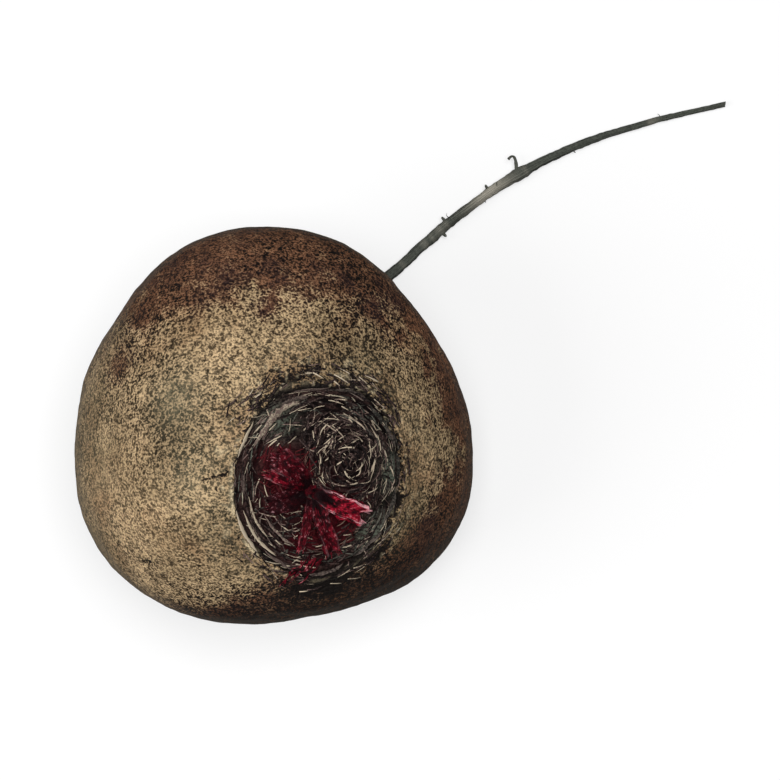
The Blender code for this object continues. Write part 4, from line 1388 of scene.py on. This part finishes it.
def rim_shreds(rng):
    """Red shreds over the rim: each passes over three points of the skin, as high as what lies there."""
    paths = []
    axes = axis_at(0.0)[2:]
    for _k in range(SHREDS):
        shares = rng.uniform(0, 0.55) + np.linspace(0, rng.uniform(0.25, 0.5), 3)
        aside = rng.normal(0, 1.8, 2) + rng.normal(0, 0.45, (3, 2))
        pixels = SHREDS_FROM + (SHREDS_TO - SHREDS_FROM) * shares[:, None] + aside
        on = np.array([skin_point(pixel) for pixel in pixels]) - CROWN_POINT
        x, y = (np.interp(np.linspace(0, 2, THREAD_STEPS), [0, 1, 2], on @ axis) for axis in axes)
        paths.append(crown_point(x, y, ground(x, y) + rng.uniform(0.1, 0.6) * MM))
    return np.array(paths), rng.choice([0.15, 0.35, 0.6], SHREDS)


def make_frays():
    """The three kinds of threads as one piece. The shreds are thicker, and the lying threads less pink."""
    rng = np.random.default_rng(41)
    kinds = [kind(rng) for kind in (end_threads, lying_threads, rim_shreds)]
    counts = [len(paths) for paths, _vivid in kinds]
    paths, vivid = (np.concatenate(v) for v in zip(*kinds))
    count = len(paths)
    radii = rng.uniform(0.06, 0.14, (count, 1)) * np.linspace(1.1, 0.4, THREAD_STEPS) * MM
    radii = radii * np.repeat([1.0, 1.0, 1.5], counts)[:, None]
    rings = bundle(paths, radii, radii, 5, CROWN_UP)
    rib, zero = vivid * np.repeat([0.8, 0.35, 0.7], counts), np.zeros(count)
    values = {"around": zero, "rib": rib, "vivid": vivid, "dry": zero}
    return new_bundle("frayed_stalk_ends", rings, "crimson_stalk", STALK_FLESH, **values)


make_frays()

# %% [markdown]
# The stage is plain: a pale floor, a large soft light overhead, and a weaker one from the left that models
# the round form. The floor looks almost white to the camera but throws back less light than white would, so
# the root's sides stay dark.

# %% The stage
FLOOR_HALF = 2
FLOOR_SEEN, FLOOR_GLOW, FLOOR_THROWN = 0.93, 0.96, 0.12
# Lamps: a bearing and a rise in degrees, a distance and a size in metres, and a power in watts
LAMPS = {"key": (196, 45, 0.8, 0.5, 3.2), "overhead": (0, 82, 0.9, 0.45, 7.7)}
SKY_STRENGTH = 0.10


def make_floor():
    """A square plane whose diffuse colour is paler for the camera's own rays than for reflected light."""
    mesh = bpy.data.meshes.new("floor")
    far = FLOOR_HALF
    mesh.from_pydata([(-far, -far, 0), (far, -far, 0), (far, far, 0), (-far, far, 0)], [], [(0, 1, 2, 3)])
    floor = bpy.data.objects.new("floor", mesh)
    bpy.context.scene.collection.objects.link(floor)
    material = bpy.data.materials.new("floor")
    material.use_nodes = True
    tree = material.node_tree
    tree.nodes.clear()
    seen, glow, thrown = ((k, k, k, 1) for k in (FLOOR_SEEN, FLOOR_GLOW, FLOOR_THROWN))
    white = wire(tree, "ShaderNodeBsdfDiffuse", {"Color": seen}).outputs[0]
    glow = wire(tree, "ShaderNodeEmission", {"Color": glow, "Strength": 1.0}).outputs[0]
    seen = wire(tree, "ShaderNodeMixShader", {0: 0.6, 1: white, 2: glow}).outputs[0]
    thrown = wire(tree, "ShaderNodeBsdfDiffuse", {"Color": thrown}).outputs[0]
    ray = wire(tree, "ShaderNodeLightPath").outputs["Is Camera Ray"]
    mixed = wire(tree, "ShaderNodeMixShader", {0: ray, 1: thrown, 2: seen})
    tree.links.new(mixed.outputs[0], wire(tree, "ShaderNodeOutputMaterial").inputs["Surface"])
    mesh.materials.append(material)


def make_lamp(name, bearing, rise, distance, size, power):
    """A square soft light, aimed at the root's middle, that the camera doesn't see."""
    light = bpy.data.lights.new(name, "AREA")
    light.size, light.energy = size, power
    a, e = math.radians(bearing), math.radians(rise)
    back = np.array([math.cos(e) * math.cos(a), math.cos(e) * math.sin(a), math.sin(e)])
    lamp = stand_at(name, light, ROOT_MIDDLE + back * distance, back, np.cross([0, 0, 1], back))
    lamp.visible_camera = False


def make_world():
    """An even white sky, weak, so that no shadow is quite black."""
    world = bpy.data.worlds.new("studio")
    world.use_nodes = True
    sky = world.node_tree.nodes["Background"]
    sky.inputs["Color"].default_value = (1, 1, 1, 1)
    sky.inputs["Strength"].default_value = SKY_STRENGTH
    bpy.context.scene.world = world


make_floor()
for name, sizes in LAMPS.items():
    make_lamp(name, *sizes)
make_world()
bpy.context.scene.view_settings.view_transform = "Standard"
print("the stage is set")
